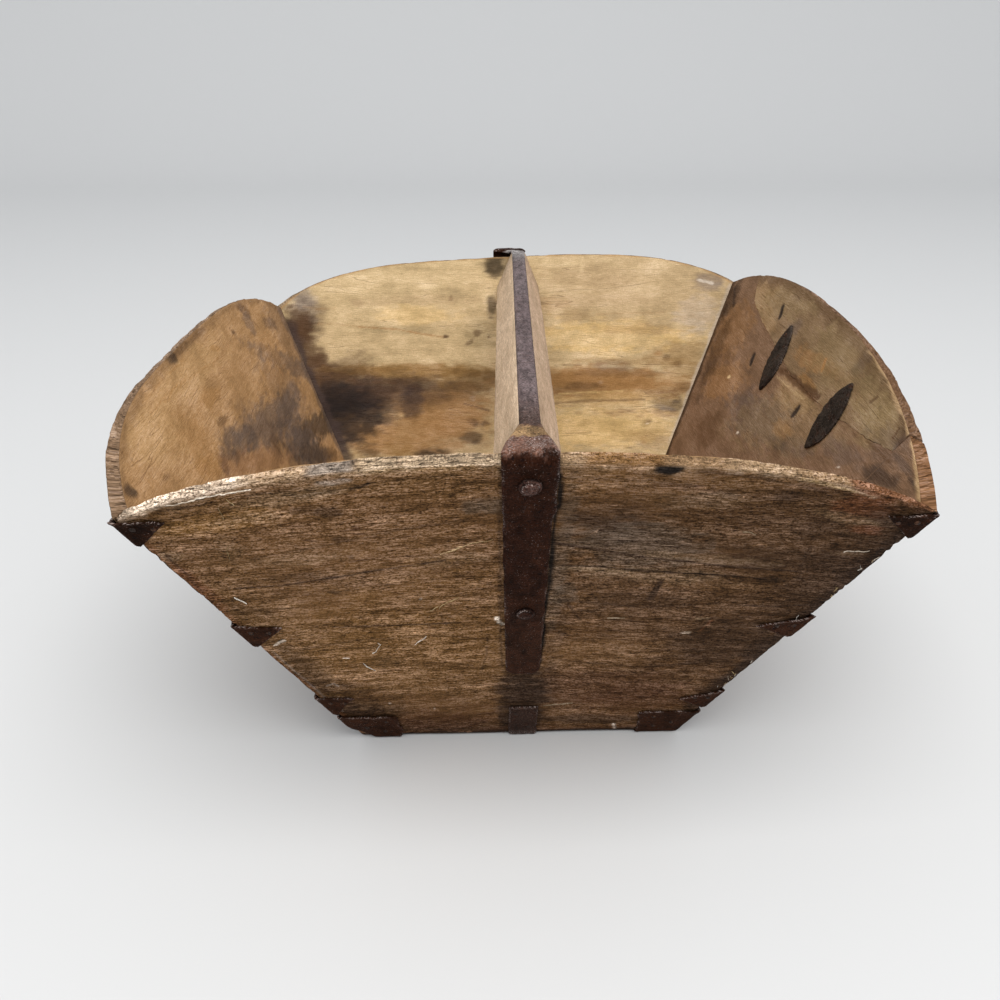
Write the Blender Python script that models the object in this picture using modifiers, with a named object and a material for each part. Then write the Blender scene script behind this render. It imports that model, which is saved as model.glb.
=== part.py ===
"""Garden trug: a square wooden measure with leaning sides, a fixed cross handle and iron fittings.

Metres, +Z up. The origin is on the ground under the middle of the base, and the front faces -Y.
Heights on the box are taken from the lower edge of its boards.
"""
import math

import bmesh
import bpy
from mathutils import Matrix, Vector

UP = Vector((0, 0, 1))

# Clearance between touching pieces, and how far cuts run past what they cut
GAP = 0.0003
OVERRUN = 0.004
MERGE_DISTANCE = 0.000001

# Box, on the outside of the boards. The rim sizes are taken at RIM_HEIGHT.
RIM_LENGTH = 0.400
RIM_DEPTH = 0.410
BASE_LENGTH = 0.211
BASE_DEPTH = 0.214
RIM_HEIGHT = 0.215
BOARD_THICKNESS = 0.0075
BASE_THICKNESS = 0.012
EDGE_ROUNDING = 0.0015

# How far each hand-cut corner stands over the rim height, or under it
FRONT_LEFT_LIFT = 0.0010
FRONT_RIGHT_LIFT = -0.0023
BACK_RIGHT_LIFT = 0.0074
BACK_LEFT_LIFT = -0.0090

# How far each board's arched top edge rises over its corners
FRONT_RISE = 0.0355
RIGHT_RISE = 0.0358
BACK_RISE = 0.0290
LEFT_RISE = 0.0345

# How square an arch's shoulders are, and where its crown lies from the middle, as shares
FRONT_ARCH_SHARES = (2.4, 0.0)
RIGHT_ARCH_SHARES = (2.4, 0.0)
BACK_ARCH_SHARES = (3.5, 0.07)
LEFT_ARCH_SHARES = (3.3, 0.30)
ARCH_STEPS = 22

# Handle bar: a ridge on top, sloping shoulders, upright flanks and a rounded underside
BAR_WIDTH = 0.034
BAR_DEPTH = 0.043
BAR_RIDGE_WIDTH = 0.0105
BAR_SHOULDER_DROP = 0.026
BAR_UNDERSIDE_ROUND = 0.011
BAR_OFFSET = 0.0056
BAR_DRIFT = 0.0135
BAR_FALL = 0.0038
UNDERSIDE_STEPS = 8

# Iron strap over the bar and down the front and the back, in two lengths that meet on the ridge
STRAP_THICKNESS = 0.0022
STRIP_WIDTH = 0.010
STRAP_JOINT = 0.052
LEG_TOP_WIDTH = 0.026
LEG_END_WIDTH = 0.021
LEG_DROP = 0.178
LEG_CHAMFER = 0.0035
FRONT_FLARE = 0.034
BACK_FLARE = 0.010
FRONT_LEG_OFFSET = -0.0022
BACK_LEG_OFFSET = 0.0050
LEG_FOOT_OFFSET = 0.0004
FOLD_STEPS = 5

# How the handle strap narrows from its leg to the ridge: shares of the flare's length, and of the
# difference in width that is left there
FLARE_SHARES = ((0.35, 0.72), (0.7, 0.28), (1, 0))

# Rivets through the straps. The upper ones are driven into the ends of the bar.
UPPER_RIVET_DROP = 0.0165
LOWER_RIVET_RISE = 0.063
UPPER_RIVET_HEAD = 0.0118
LOWER_RIVET_HEAD = 0.0092
RIVET_CROWN = 0.0026
RIVET_SHANK = 0.0040
BAR_RIVET_REACH = 0.008
RIVET_SIDES = 20

# Thinner iron strap under the base, turned up on the front and the back
BASE_STRAP_WIDTH = 0.0185
BASE_STRAP_END = 0.034
BASE_STRAP_OFFSET = 0.0023

# Sheet iron, of which the base strap and the corner irons are cut
SHEET_THICKNESS = 0.0015
SHEET_ROUNDING = 0.0003

# Corner irons: each is a triangle folded round a corner, with its point down the fold
IRON_TIP = 0.0016
IRON_STEPS = 3
RIM_IRON_LENGTH = 0.027
RIM_IRON_DROP = 0.018
RIM_IRON_SETBACK = 0.0010
MID_IRON_LENGTH = 0.028
MID_IRON_DROP = 0.0205
MID_IRON_HEIGHT = 0.1285
LOW_IRON_LENGTH = 0.0245
LOW_IRON_DROP = 0.0215
LOW_IRON_HEIGHT = 0.0505
FOOT_IRON_LENGTH = 0.036
FOOT_IRON_HEIGHT = 0.0255
FOOT_IRON_FLANGE = 0.013

# Pieces that mend the split in the right end: pointed ovals across the crack
PLATE_LENGTH = 0.050
PLATE_WIDTH = 0.0235
PLATE_THICKNESS = 0.0016
PLATE_ROUNDING = 0.0004
PLATE_SEAT = 0.2265
REAR_PLATE_PLACE = 0.0400
FRONT_PLATE_PLACE = -0.0725
PLATE_LEAN = 0.0080
PLATE_STEPS = 7

# The crack runs from the front end of the right board's arch to its back end. Its points are
# shares of the board's half length and of its height at the corners, measured on the slope.
CRACK_SHARES = (
    (-0.771, 1.005), (-0.617, 0.983), (-0.298, 0.954), (0.04, 0.949),
    (0.278, 0.975), (0.517, 0.997), (0.686, 1.026), (0.741, 1.066),
)
CRACK_FRONT_EXIT_SHARE = -0.805
CRACK_BACK_EXIT_SHARE = 0.775

# Each corner's irons, hand cut: size share, and how far the outer ends of the middle and the low
# iron hang, as a share of their drop
CORNER_SIZE_SHARES = {"front_left": 1.0, "front_right": 0.96, "back_right": 1.02, "back_left": 0.98}
MID_HANG_SHARES = {"front_left": 0.08, "front_right": 0.40, "back_right": 0.05, "back_left": 0.16}
LOW_HANG_SHARES = {"front_left": 0.02, "front_right": 0.42, "back_right": 0.12, "back_left": 0.05}
FOOT_LENGTH_SHARES = {"front_left": 1.0, "front_right": 0.98, "back_right": 0.92, "back_left": 0.86}

# Heights that follow from the sizes above: of the boards' lower edge, and of the four corners
WOOD_BOTTOM = SHEET_THICKNESS + GAP
FRONT_LEFT_CORNER = RIM_HEIGHT + FRONT_LEFT_LIFT
FRONT_RIGHT_CORNER = RIM_HEIGHT + FRONT_RIGHT_LIFT
BACK_RIGHT_CORNER = RIM_HEIGHT + BACK_RIGHT_LIFT
BACK_LEFT_CORNER = RIM_HEIGHT + BACK_LEFT_LIFT


class Side:
    """One leaning side of the box: along it, up its slope and out of it are its three directions."""

    def __init__(self, name, out, base_across, rim_across, base_along, rim_along):
        self.name = name
        self.out = Vector(out)
        self.along = UP.cross(self.out)
        self.base_across = base_across / 2
        self.run = (rim_across - base_across) / 2
        self.base_along = base_along / 2
        self.spread = (rim_along - base_along) / 2
        self.slope = math.hypot(self.run, RIM_HEIGHT) / RIM_HEIGHT
        self.lean = math.atan2(self.run, RIM_HEIGHT)
        self.up = (self.out * self.run + UP * RIM_HEIGHT).normalized()
        self.normal = self.along.cross(self.up)

    def across(self, height):
        """Level distance from the middle of the box to the outer face."""
        return self.base_across + self.run * height / RIM_HEIGHT

    def half_along(self, height):
        return self.base_along + self.spread * height / RIM_HEIGHT

    def point(self, along, slant, depth=0):
        """A point on the board: along it, up its slope, and in from its outer face."""
        foot = self.out * self.base_across + UP * WOOD_BOTTOM
        return foot + self.along * along + self.up * slant - self.normal * depth

    def frame(self, along, slant, depth):
        """Matrix that lays a flat outline on the board, its Z pointing out of it."""
        axes = Matrix((self.along, self.up, self.normal)).transposed().to_4x4()
        return Matrix.Translation(self.point(along, slant, depth)) @ axes


FRONT = Side("front", (0, -1, 0), BASE_DEPTH, RIM_DEPTH, BASE_LENGTH, RIM_LENGTH)
RIGHT = Side("right", (1, 0, 0), BASE_LENGTH, RIM_LENGTH, BASE_DEPTH, RIM_DEPTH)
BACK = Side("back", (0, 1, 0), BASE_DEPTH, RIM_DEPTH, BASE_LENGTH, RIM_LENGTH)
LEFT = Side("left", (-1, 0, 0), BASE_LENGTH, RIM_LENGTH, BASE_DEPTH, RIM_DEPTH)

# Each side's corner heights, from the start of its length to the end, and its arch
ARCHES = {
    "front": (FRONT_LEFT_CORNER, FRONT_RIGHT_CORNER, FRONT_RISE, *FRONT_ARCH_SHARES),
    "right": (FRONT_RIGHT_CORNER, BACK_RIGHT_CORNER, RIGHT_RISE, *RIGHT_ARCH_SHARES),
    "back": (BACK_RIGHT_CORNER, BACK_LEFT_CORNER, BACK_RISE, *BACK_ARCH_SHARES),
    "left": (BACK_LEFT_CORNER, FRONT_LEFT_CORNER, LEFT_RISE, *LEFT_ARCH_SHARES),
}
NEIGHBOURS = {"front": (LEFT, RIGHT), "right": (FRONT, BACK), "back": (RIGHT, LEFT), "left": (BACK, FRONT)}
CORNERS = {
    "front_left": (LEFT, FRONT, FRONT_LEFT_CORNER),
    "front_right": (FRONT, RIGHT, FRONT_RIGHT_CORNER),
    "back_right": (RIGHT, BACK, BACK_RIGHT_CORNER),
    "back_left": (BACK, LEFT, BACK_LEFT_CORNER),
}


def rim_point(side, share):
    """Where the outer top edge passes: along the side and up its slope, from corner -1 to corner 1."""
    start, end, rise, fullness, crown = ARCHES[side.name]
    chord = start + (end - start) * (share + 1) / 2
    span = 1 - crown if share > crown else 1 + crown
    height = chord + rise * (1 - abs((share - crown) / span) ** fullness)
    return share * side.half_along(chord), height * side.slope


def rim_run(side, start, end, steps):
    return [rim_point(side, start + (end - start) * i / steps) for i in range(steps + 1)]


def highest_edge(side):
    """World height of the inner top edge at the crown of the arch."""
    slant = max(point[1] for point in rim_run(side, -1, 1, 2 * ARCH_STEPS))
    return side.point(0, slant, BOARD_THICKNESS).z


HANDLE_TOP = max(highest_edge(FRONT), highest_edge(BACK) + BAR_FALL)


def bar_centre(y):
    """The bar runs slightly askew, from the front's left to the back's right."""
    return BAR_OFFSET + BAR_DRIFT * y / RIM_DEPTH


def bar_top(y):
    """World height of the bar's ridge, which falls a little towards the back."""
    return HANDLE_TOP - BAR_FALL * (y / RIM_DEPTH + 1 / 2)


def make_material(name, colour, roughness, metallic):
    material = bpy.data.materials.new(name)
    material.use_nodes = True
    shader = material.node_tree.nodes["Principled BSDF"]
    shader.inputs["Base Color"].default_value = (*colour, 1)
    shader.inputs["Roughness"].default_value = roughness
    shader.inputs["Metallic"].default_value = metallic
    material.diffuse_color = (*colour, 1)
    return material


def finish_object(name, bm, material, collection, smooth_angle=math.radians(35)):
    """Turn a bmesh into a named object of the trug."""
    bmesh.ops.recalc_face_normals(bm, faces=bm.faces)
    mesh = bpy.data.meshes.new(name)
    bm.to_mesh(mesh)
    bm.free()
    mesh.shade_smooth()
    mesh.set_sharp_from_angle(angle=smooth_angle)
    if material:
        mesh.materials.append(material)
    obj = bpy.data.objects.new(name, mesh)
    collection.objects.link(obj)
    return obj


def outline_solid(outline, thickness, rounding, shrink):
    """A flat outline as a closed bmesh in its own plane, half its thickness either side of zero."""
    curve = bpy.data.curves.new("outline", "CURVE")
    curve.dimensions = "2D"
    curve.fill_mode = "BOTH"
    curve.extrude = thickness / 2 - rounding
    curve.bevel_depth = rounding
    curve.bevel_resolution = 1
    curve.offset = -rounding - shrink
    spline = curve.splines.new("POLY")
    spline.points.add(len(outline) - 1)
    for point, (x, y) in zip(spline.points, outline):
        point.co = (x, y, 0, 1)
    spline.use_cyclic_u = True
    guide = bpy.data.objects.new("outline", curve)
    bpy.context.scene.collection.objects.link(guide)
    graph = bpy.context.evaluated_depsgraph_get()
    mesh = bpy.data.meshes.new_from_object(guide.evaluated_get(graph))
    bm = bmesh.new()
    bm.from_mesh(mesh)
    bmesh.ops.remove_doubles(bm, verts=bm.verts, dist=MERGE_DISTANCE)
    bpy.data.objects.remove(guide)
    bpy.data.curves.remove(curve)
    bpy.data.meshes.remove(mesh)
    return bm


def cut_away(bm, point, normal):
    """Remove what lies beyond a plane, on the side its normal points to, and close the cut."""
    geometry = bm.verts[:] + bm.edges[:] + bm.faces[:]
    cut = bmesh.ops.bisect_plane(
        bm, geom=geometry, dist=MERGE_DISTANCE, plane_co=point, plane_no=normal, clear_outer=True
    )
    edges = [item for item in cut["geom_cut"] if isinstance(item, bmesh.types.BMEdge)]
    bmesh.ops.edgeloop_fill(bm, edges=edges)


def cut_mitre(bm, side, neighbour):
    """Cut a board at the joint that runs from the outer to the inner corner of two sides."""
    corner = side.out * side.across(0) + neighbour.out * neighbour.across(0) + UP * WOOD_BOTTOM
    edge = side.out * side.run + neighbour.out * neighbour.run + UP * RIM_HEIGHT
    inward = side.out * side.slope + neighbour.out * neighbour.slope
    normal = edge.cross(inward).normalized()
    if normal.dot(neighbour.out) < 0:
        normal.negate()
    cut_away(bm, corner - normal * GAP / 2, normal)


def lay_board(name, side, outline, material, collection):
    """A board of one side, mitred at its ends and cut level along its lower edge."""
    bm = outline_solid(outline, BOARD_THICKNESS, EDGE_ROUNDING, GAP / 2)
    bmesh.ops.transform(bm, matrix=side.frame(0, 0, BOARD_THICKNESS / 2), verts=bm.verts)
    for neighbour in NEIGHBOURS[side.name]:
        cut_mitre(bm, side, neighbour)
    cut_away(bm, UP * WOOD_BOTTOM, -UP)
    return finish_object(name, bm, material, collection)


def lower_edge(side):
    """The two lower ends of a board's outline, left long for the mitres and the level cut."""
    reach = side.half_along(0) + OVERRUN
    return [(-reach, -OVERRUN), (reach, -OVERRUN)]


def end_share(side):
    """The share at which the outline runs past the corner by the overrun."""
    return 1 + OVERRUN / side.half_along(RIM_HEIGHT)


def build_whole_board(name, side, material, collection):
    reach = end_share(side)
    outline = lower_edge(side) + rim_run(side, reach, -reach, ARCH_STEPS)
    return lay_board(name, side, outline, material, collection)


def crack_points():
    """The crack of the right end, from its front exit at the rim to its back exit."""
    corners = (FRONT_RIGHT_CORNER + BACK_RIGHT_CORNER) / 2
    points = [rim_point(RIGHT, CRACK_FRONT_EXIT_SHARE)]
    for along_share, slant_share in CRACK_SHARES:
        points.append((along_share * RIGHT.half_along(corners), slant_share * corners * RIGHT.slope))
    points.append(rim_point(RIGHT, CRACK_BACK_EXIT_SHARE))
    return points


def build_split_board(material, collection):
    """The right end: its lower board, and the arched piece that split from it."""
    reach = end_share(RIGHT)
    crack = crack_points()
    back_steps = max(3, round(ARCH_STEPS * (reach - CRACK_BACK_EXIT_SHARE) / 2))
    back_rim = rim_run(RIGHT, reach, CRACK_BACK_EXIT_SHARE, back_steps)
    front_rim = rim_run(RIGHT, CRACK_FRONT_EXIT_SHARE, -reach, back_steps)
    lower = lower_edge(RIGHT) + back_rim[:-1] + crack[::-1] + front_rim[1:]
    lay_board("right_end_board", RIGHT, lower, material, collection)
    arch = rim_run(RIGHT, CRACK_BACK_EXIT_SHARE, CRACK_FRONT_EXIT_SHARE, ARCH_STEPS)
    upper = crack + arch[1:-1]
    lay_board("right_end_arch_piece", RIGHT, upper, material, collection)


def build_base(material, collection):
    """The base board lies between the sides, its edges leaning with them."""
    bm = bmesh.new()
    bmesh.ops.create_cube(bm, size=1)
    for vertex in bm.verts:
        height = BASE_THICKNESS if vertex.co.z > 0 else 0
        half_x = RIGHT.across(height) - (BOARD_THICKNESS + GAP) * RIGHT.slope
        half_y = FRONT.across(height) - (BOARD_THICKNESS + GAP) * FRONT.slope
        x = math.copysign(half_x, vertex.co.x)
        y = math.copysign(half_y, vertex.co.y)
        vertex.co = (x, y, WOOD_BOTTOM + height)
    return finish_object("base_board", bm, material, collection)


def bar_outline():
    """Section of the bar: across it, and down from its ridge as negative numbers."""
    flank = BAR_WIDTH / 2
    round_top = BAR_UNDERSIDE_ROUND - BAR_DEPTH
    right = [(BAR_RIDGE_WIDTH / 2, 0), (flank, -BAR_SHOULDER_DROP)]
    for i in range(UNDERSIDE_STEPS + 1):
        turn = math.pi * i / UNDERSIDE_STEPS
        right.append((flank * math.cos(turn), round_top - BAR_UNDERSIDE_ROUND * math.sin(turn)))
    return right + [(-flank, -BAR_SHOULDER_DROP), (-BAR_RIDGE_WIDTH / 2, 0)]


def build_bar(material, collection):
    """The bar runs between the front and the back board, its ends cut to their slope."""
    bm = outline_solid(bar_outline(), RIM_DEPTH, 0, 0)
    inset = (BOARD_THICKNESS + GAP) * FRONT.slope
    for vertex in bm.verts:
        x, height, end = vertex.co
        rim = math.copysign(FRONT.across(HANDLE_TOP - WOOD_BOTTOM), end)
        z = bar_top(rim) + height
        y = math.copysign(FRONT.across(z - WOOD_BOTTOM) - inset, end)
        vertex.co = (x + bar_centre(y), y, z)
    return finish_object("handle_bar", bm, material, collection)


def bent_sheet(name, columns, rows, place, thickness, material, collection):
    """A grid bent to shape: place(column, row) gives each knot of its inner face, and it thickens outwards."""
    bm = bmesh.new()
    bmesh.ops.create_grid(bm, x_segments=columns, y_segments=rows, size=1)
    for vertex in bm.verts:
        column = round((vertex.co.x + 1) / 2 * columns)
        row = round((vertex.co.y + 1) / 2 * rows)
        vertex.co = place(column, row)
    mesh = bpy.data.meshes.new(name)
    bm.to_mesh(mesh)
    bm.free()
    mesh.materials.append(material)
    obj = bpy.data.objects.new(name, mesh)
    collection.objects.link(obj)
    wall = obj.modifiers.new("thickness", "SOLIDIFY")
    wall.thickness = thickness
    wall.offset = 1
    wall.use_even_offset = True
    wall.use_quality_normals = True
    edges = obj.modifiers.new("worn edges", "BEVEL")
    edges.width = SHEET_ROUNDING
    edges.segments = 1
    edges.limit_method = "ANGLE"
    edges.angle_limit = math.radians(50)
    return obj


def leg_point(side, height):
    """Inner face of a strap on a side: its level reach from the middle, and its world height."""
    return side.across(height) + GAP * side.slope, WOOD_BOTTOM + height


def leg_top(side):
    """Height on the box at which a strap folds over from its leg to the bar's ridge."""
    return bar_top(side.out.y * side.across(HANDLE_TOP - WOOD_BOTTOM)) - WOOD_BOTTOM


def handle_fold(side):
    """The fold over the rim, as reach and world height, from the leg to the level run."""
    radius = 2 * EDGE_ROUNDING
    level = leg_top(side) + WOOD_BOTTOM + GAP
    reach, _ = leg_point(side, level - WOOD_BOTTOM)
    tangent = radius * math.tan((math.pi / 2 + side.lean) / 2)
    fold = []
    for i in range(FOLD_STEPS + 1):
        turn = -side.lean + (math.pi / 2 + side.lean) * i / FOLD_STEPS
        fold.append((reach - tangent + radius * math.cos(turn), level - radius + radius * math.sin(turn)))
    return fold


def handle_stations(side, leg_offset, flare, strip_end):
    """Stations up the leg, over the fold and along the ridge: reach, height, half width and centre."""
    fold = handle_fold(side)
    end_half = LEG_END_WIDTH / 2
    top_half = LEG_TOP_WIDTH / 2
    end = leg_top(side) - LEG_DROP
    stations = [
        (*leg_point(side, end), end_half - LEG_CHAMFER, LEG_FOOT_OFFSET),
        (*leg_point(side, end + LEG_CHAMFER), end_half, LEG_FOOT_OFFSET),
    ]
    stations += [(reach, level, top_half, leg_offset) for reach, level in fold]
    crown, _ = fold[-1]
    for share, width_share in FLARE_SHARES:
        reach = crown - flare * share
        y = side.out.y * reach
        centre = leg_offset + (bar_centre(y) - leg_offset) * share
        half = (STRIP_WIDTH + (LEG_TOP_WIDTH - STRIP_WIDTH) * width_share) / 2
        stations.append((reach, bar_top(y) + GAP, half, centre))
    y = side.out.y * strip_end
    stations.append((strip_end, bar_top(y) + GAP, STRIP_WIDTH / 2, bar_centre(y)))
    return stations


def build_strap(name, side, stations, thickness, material, collection):
    """A strap bent along its stations, which lie in the upright plane through the side's middle."""

    def place(column, row):
        reach, level, half, centre = stations[row]
        along = centre * side.along.x + (column - 1) * half
        return side.along * along + side.out * reach + UP * level

    return bent_sheet(name, 2, len(stations) - 1, place, thickness, material, collection)


def base_strap_stations():
    """The strap under the base: up the front, under the boards and up the back."""
    radius = 4 * GAP
    level = WOOD_BOTTOM - GAP
    foot, _ = leg_point(FRONT, level - WOOD_BOTTOM)
    tangent = radius * math.tan((math.pi / 2 - FRONT.lean) / 2)
    half = BASE_STRAP_WIDTH / 2
    front = [(*leg_point(FRONT, BASE_STRAP_END), half, BASE_STRAP_OFFSET)]
    for i in range(FOLD_STEPS + 1):
        turn = -FRONT.lean - (math.pi / 2 - FRONT.lean) * i / FOLD_STEPS
        reach = foot - tangent + radius * math.cos(turn)
        front.append((reach, level + radius + radius * math.sin(turn), half, BASE_STRAP_OFFSET))
    back = [(-reach, height, half, offset) for reach, height, half, offset in front[::-1]]
    return (front + back)[::-1]


def corner_point(corner, height, depth):
    """On the fold of a corner: a height on the box, and a distance out from both faces."""
    first, second, _ = CORNERS[corner]
    reach_first = first.across(height) + depth * first.slope
    reach_second = second.across(height) + depth * second.slope
    return first.out * reach_first + second.out * reach_second + UP * (WOOD_BOTTOM + height)


def build_triangle_iron(name, corner, length, drop, top, hang_share, material, collection):
    """A sheet triangle folded round a corner, with its point down the fold."""
    first, second, _ = CORNERS[corner]

    def place(column, row):
        down = 1 - row / IRON_STEPS
        away = abs(column - 2) / 2
        width = length + (IRON_TIP - length) * down
        height = top - drop * down - drop * hang_share * away * (1 - down)
        beyond = second if column < 2 else first
        return corner_point(corner, height, GAP) - beyond.out * away * width

    return bent_sheet(name, 4, IRON_STEPS, place, SHEET_THICKNESS, material, collection)


def build_foot_iron(name, corner, length, material, collection):
    """A corner iron at the foot of the box, turned under the boards, which it carries."""
    first, second, _ = CORNERS[corner]

    def place(column, row):
        away = abs(column - 2) / 2 * length
        beyond, under = (second, first) if column < 2 else (first, second)
        if row == 0:
            start = corner_point(corner, -GAP, GAP)
            return start - beyond.out * max(away, FOOT_IRON_FLANGE) - under.out * FOOT_IRON_FLANGE
        height = FOOT_IRON_HEIGHT * (row - 1) / 2 - GAP * (3 - row) / 2
        return corner_point(corner, height, GAP) - beyond.out * away

    return bent_sheet(name, 4, 3, place, SHEET_THICKNESS, material, collection)


def build_corner_irons(material, collection):
    for corner, (_, _, corner_height) in CORNERS.items():
        size = CORNER_SIZE_SHARES[corner]
        irons = (
            ("rim", RIM_IRON_LENGTH, RIM_IRON_DROP, corner_height - RIM_IRON_SETBACK, 0),
            ("middle", MID_IRON_LENGTH, MID_IRON_DROP, MID_IRON_HEIGHT, MID_HANG_SHARES[corner]),
            ("low", LOW_IRON_LENGTH, LOW_IRON_DROP, LOW_IRON_HEIGHT, LOW_HANG_SHARES[corner]),
        )
        for place, length, drop, top, hang in irons:
            name = f"{corner}_{place}_iron"
            build_triangle_iron(name, corner, length * size, drop * size, top, hang, material, collection)
        length = FOOT_IRON_LENGTH * FOOT_LENGTH_SHARES[corner]
        build_foot_iron(f"{corner}_foot_iron", corner, length, material, collection)


def rivet_frame(side, height, offset):
    """Matrix of a rivet: its origin on the strap's outer face, and its Z out of the side."""
    along = offset if side is FRONT else -offset
    return side.frame(along, height * side.slope, -GAP - STRAP_THICKNESS)


def rivet_profile(head, reach):
    """Half section of a rivet, from the top of its crown down its outer side to its point."""
    radius = head / 2
    shank = RIVET_SHANK / 2
    steps = 4
    points = []
    for i in range(steps + 1):
        turn = math.pi / 2 * i / steps
        points.append((radius * math.sin(turn), GAP + RIVET_CROWN * math.cos(turn)))
    return points + [(shank, GAP), (shank, -reach), (0, -reach)]


def build_rivet(name, matrix, head, reach, material, collection):
    """A domed rivet turned about its own axis."""
    bm = bmesh.new()
    knots = [bm.verts.new((x, 0, z)) for x, z in rivet_profile(head, reach)]
    for upper, lower in zip(knots, knots[1:]):
        bm.edges.new((upper, lower))
    mesh = bpy.data.meshes.new(name)
    bm.to_mesh(mesh)
    bm.free()
    mesh.materials.append(material)
    obj = bpy.data.objects.new(name, mesh)
    obj.matrix_world = matrix
    collection.objects.link(obj)
    screw = obj.modifiers.new("turn", "SCREW")
    screw.steps = RIVET_SIDES
    screw.render_steps = RIVET_SIDES
    screw.use_merge_vertices = True
    screw.merge_threshold = MERGE_DISTANCE
    return obj


def rivet_cutter(name, matrix, reach, cutters):
    """A drill for a rivet's hole, from above the strap to just past the rivet's point."""
    bm = bmesh.new()
    length = reach + GAP + OVERRUN
    radius = RIVET_SHANK / 2 + GAP
    bmesh.ops.create_cone(
        bm, cap_ends=True, segments=RIVET_SIDES, radius1=radius, radius2=radius, depth=length,
        matrix=Matrix.Translation((0, 0, OVERRUN - length / 2)),
    )
    obj = finish_object(name, bm, None, cutters)
    obj.matrix_world = matrix
    obj.hide_render = True
    obj.display_type = "WIRE"
    return obj


def drill(targets, cutter):
    for target in targets:
        cut = target.modifiers.new(cutter.name, "BOOLEAN")
        cut.operation = "DIFFERENCE"
        cut.object = cutter


def leg_centre(drop, leg_offset):
    """How far a leg's middle lies to the right of the box's middle, at a drop from its top."""
    return leg_offset + (LEG_FOOT_OFFSET - leg_offset) * drop / LEG_DROP


def build_rivets(side, leg_offset, board, bar, strap, material, collection, cutters):
    """The two rivets of one leg: the upper holds the bar, the lower only the board."""
    through = GAP + STRAP_THICKNESS + BOARD_THICKNESS
    deep = through + BAR_RIVET_REACH
    lower_drop = LEG_DROP - LOWER_RIVET_RISE
    bar_end = bar_centre(side.out.y * side.across(leg_top(side)))
    upper_offset = (leg_centre(UPPER_RIVET_DROP, leg_offset) + bar_end) / 2
    lower_offset = leg_centre(lower_drop, leg_offset)
    rivets = (
        ("upper", UPPER_RIVET_DROP, upper_offset, UPPER_RIVET_HEAD, deep, [board, bar, strap]),
        ("lower", lower_drop, lower_offset, LOWER_RIVET_HEAD, through, [board, strap]),
    )
    for place, drop, offset, head, reach, targets in rivets:
        matrix = rivet_frame(side, leg_top(side) - drop, offset)
        build_rivet(f"{side.name}_{place}_rivet", matrix, head, reach, material, collection)
        drill(targets, rivet_cutter(f"{side.name}_{place}_drill", matrix, reach, cutters))


def plate_outline():
    """A pointed oval from two arcs, its long axis upright."""
    half_length = PLATE_LENGTH / 2
    half_width = PLATE_WIDTH / 2
    radius = (half_length ** 2 + half_width ** 2) / (2 * half_width)
    reach = math.asin(half_length / radius)
    right = []
    for i in range(2 * PLATE_STEPS + 1):
        turn = reach * (i / PLATE_STEPS - 1)
        right.append((radius * math.cos(turn) - (radius - half_width), radius * math.sin(turn)))
    return right + [(-x, -y) for x, y in right[1:-1]]


def build_plate(name, place, lean, material, collection):
    """A mending plate on the inner face of the right end, across the crack."""
    bm = outline_solid(plate_outline(), PLATE_THICKNESS, PLATE_ROUNDING, 0)
    tilt = Matrix.Rotation(-math.atan2(lean, PLATE_LENGTH), 4, "Z")
    depth = BOARD_THICKNESS + GAP + PLATE_THICKNESS / 2
    frame = RIGHT.frame(place, PLATE_SEAT, depth)
    bmesh.ops.transform(bm, matrix=frame @ tilt, verts=bm.verts)
    return finish_object(name, bm, material, collection)


def main():
    for obj in list(bpy.data.objects):
        bpy.data.objects.remove(obj)
    trug = bpy.data.collections.new("garden_trug")
    cutters = bpy.data.collections.new("cutters")
    bpy.context.scene.collection.children.link(trug)
    bpy.context.scene.collection.children.link(cutters)

    board_wood = make_material("weathered_board_wood", (0.20, 0.115, 0.058), 0.78, 0)
    bar_wood = make_material("worn_handle_wood", (0.44, 0.33, 0.23), 0.70, 0)
    base_wood = make_material("stained_base_wood", (0.26, 0.15, 0.08), 0.80, 0)
    strap_iron = make_material("forged_strap_iron", (0.040, 0.024, 0.019), 0.50, 0.6)
    sheet_iron = make_material("rusted_sheet_iron", (0.035, 0.021, 0.015), 0.60, 0.5)

    front_board = build_whole_board("front_board", FRONT, board_wood, trug)
    back_board = build_whole_board("back_board", BACK, board_wood, trug)
    build_whole_board("left_end_board", LEFT, board_wood, trug)
    build_split_board(board_wood, trug)
    build_base(base_wood, trug)
    bar = build_bar(bar_wood, trug)

    front_run = handle_stations(FRONT, FRONT_LEG_OFFSET, FRONT_FLARE, -STRAP_JOINT)
    back_run = handle_stations(BACK, BACK_LEG_OFFSET, BACK_FLARE, STRAP_JOINT + GAP)
    front_strap = build_strap("front_handle_strap", FRONT, front_run, STRAP_THICKNESS, strap_iron, trug)
    back_strap = build_strap("back_handle_strap", BACK, back_run, STRAP_THICKNESS, strap_iron, trug)
    build_strap("base_strap", FRONT, base_strap_stations(), SHEET_THICKNESS, strap_iron, trug)
    build_rivets(FRONT, FRONT_LEG_OFFSET, front_board, bar, front_strap, strap_iron, trug, cutters)
    build_rivets(BACK, BACK_LEG_OFFSET, back_board, bar, back_strap, strap_iron, trug, cutters)

    build_corner_irons(sheet_iron, trug)
    build_plate("rear_mending_plate", REAR_PLATE_PLACE, PLATE_LEAN, sheet_iron, trug)
    build_plate("front_mending_plate", FRONT_PLATE_PLACE, -PLATE_LEAN, sheet_iron, trug)


main()
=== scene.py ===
"""Looks of the garden trug: weathered boards, a hand-worn handle and hand-cut iron.

Metres, +Z up, in the frame of the CAD model: the front faces -Y and the ground is z = 0.
A board's own places are given along it, up its slope and in from its outer face.
"""
import math

import bpy
import numpy as np
from mathutils import Matrix, Vector

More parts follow.
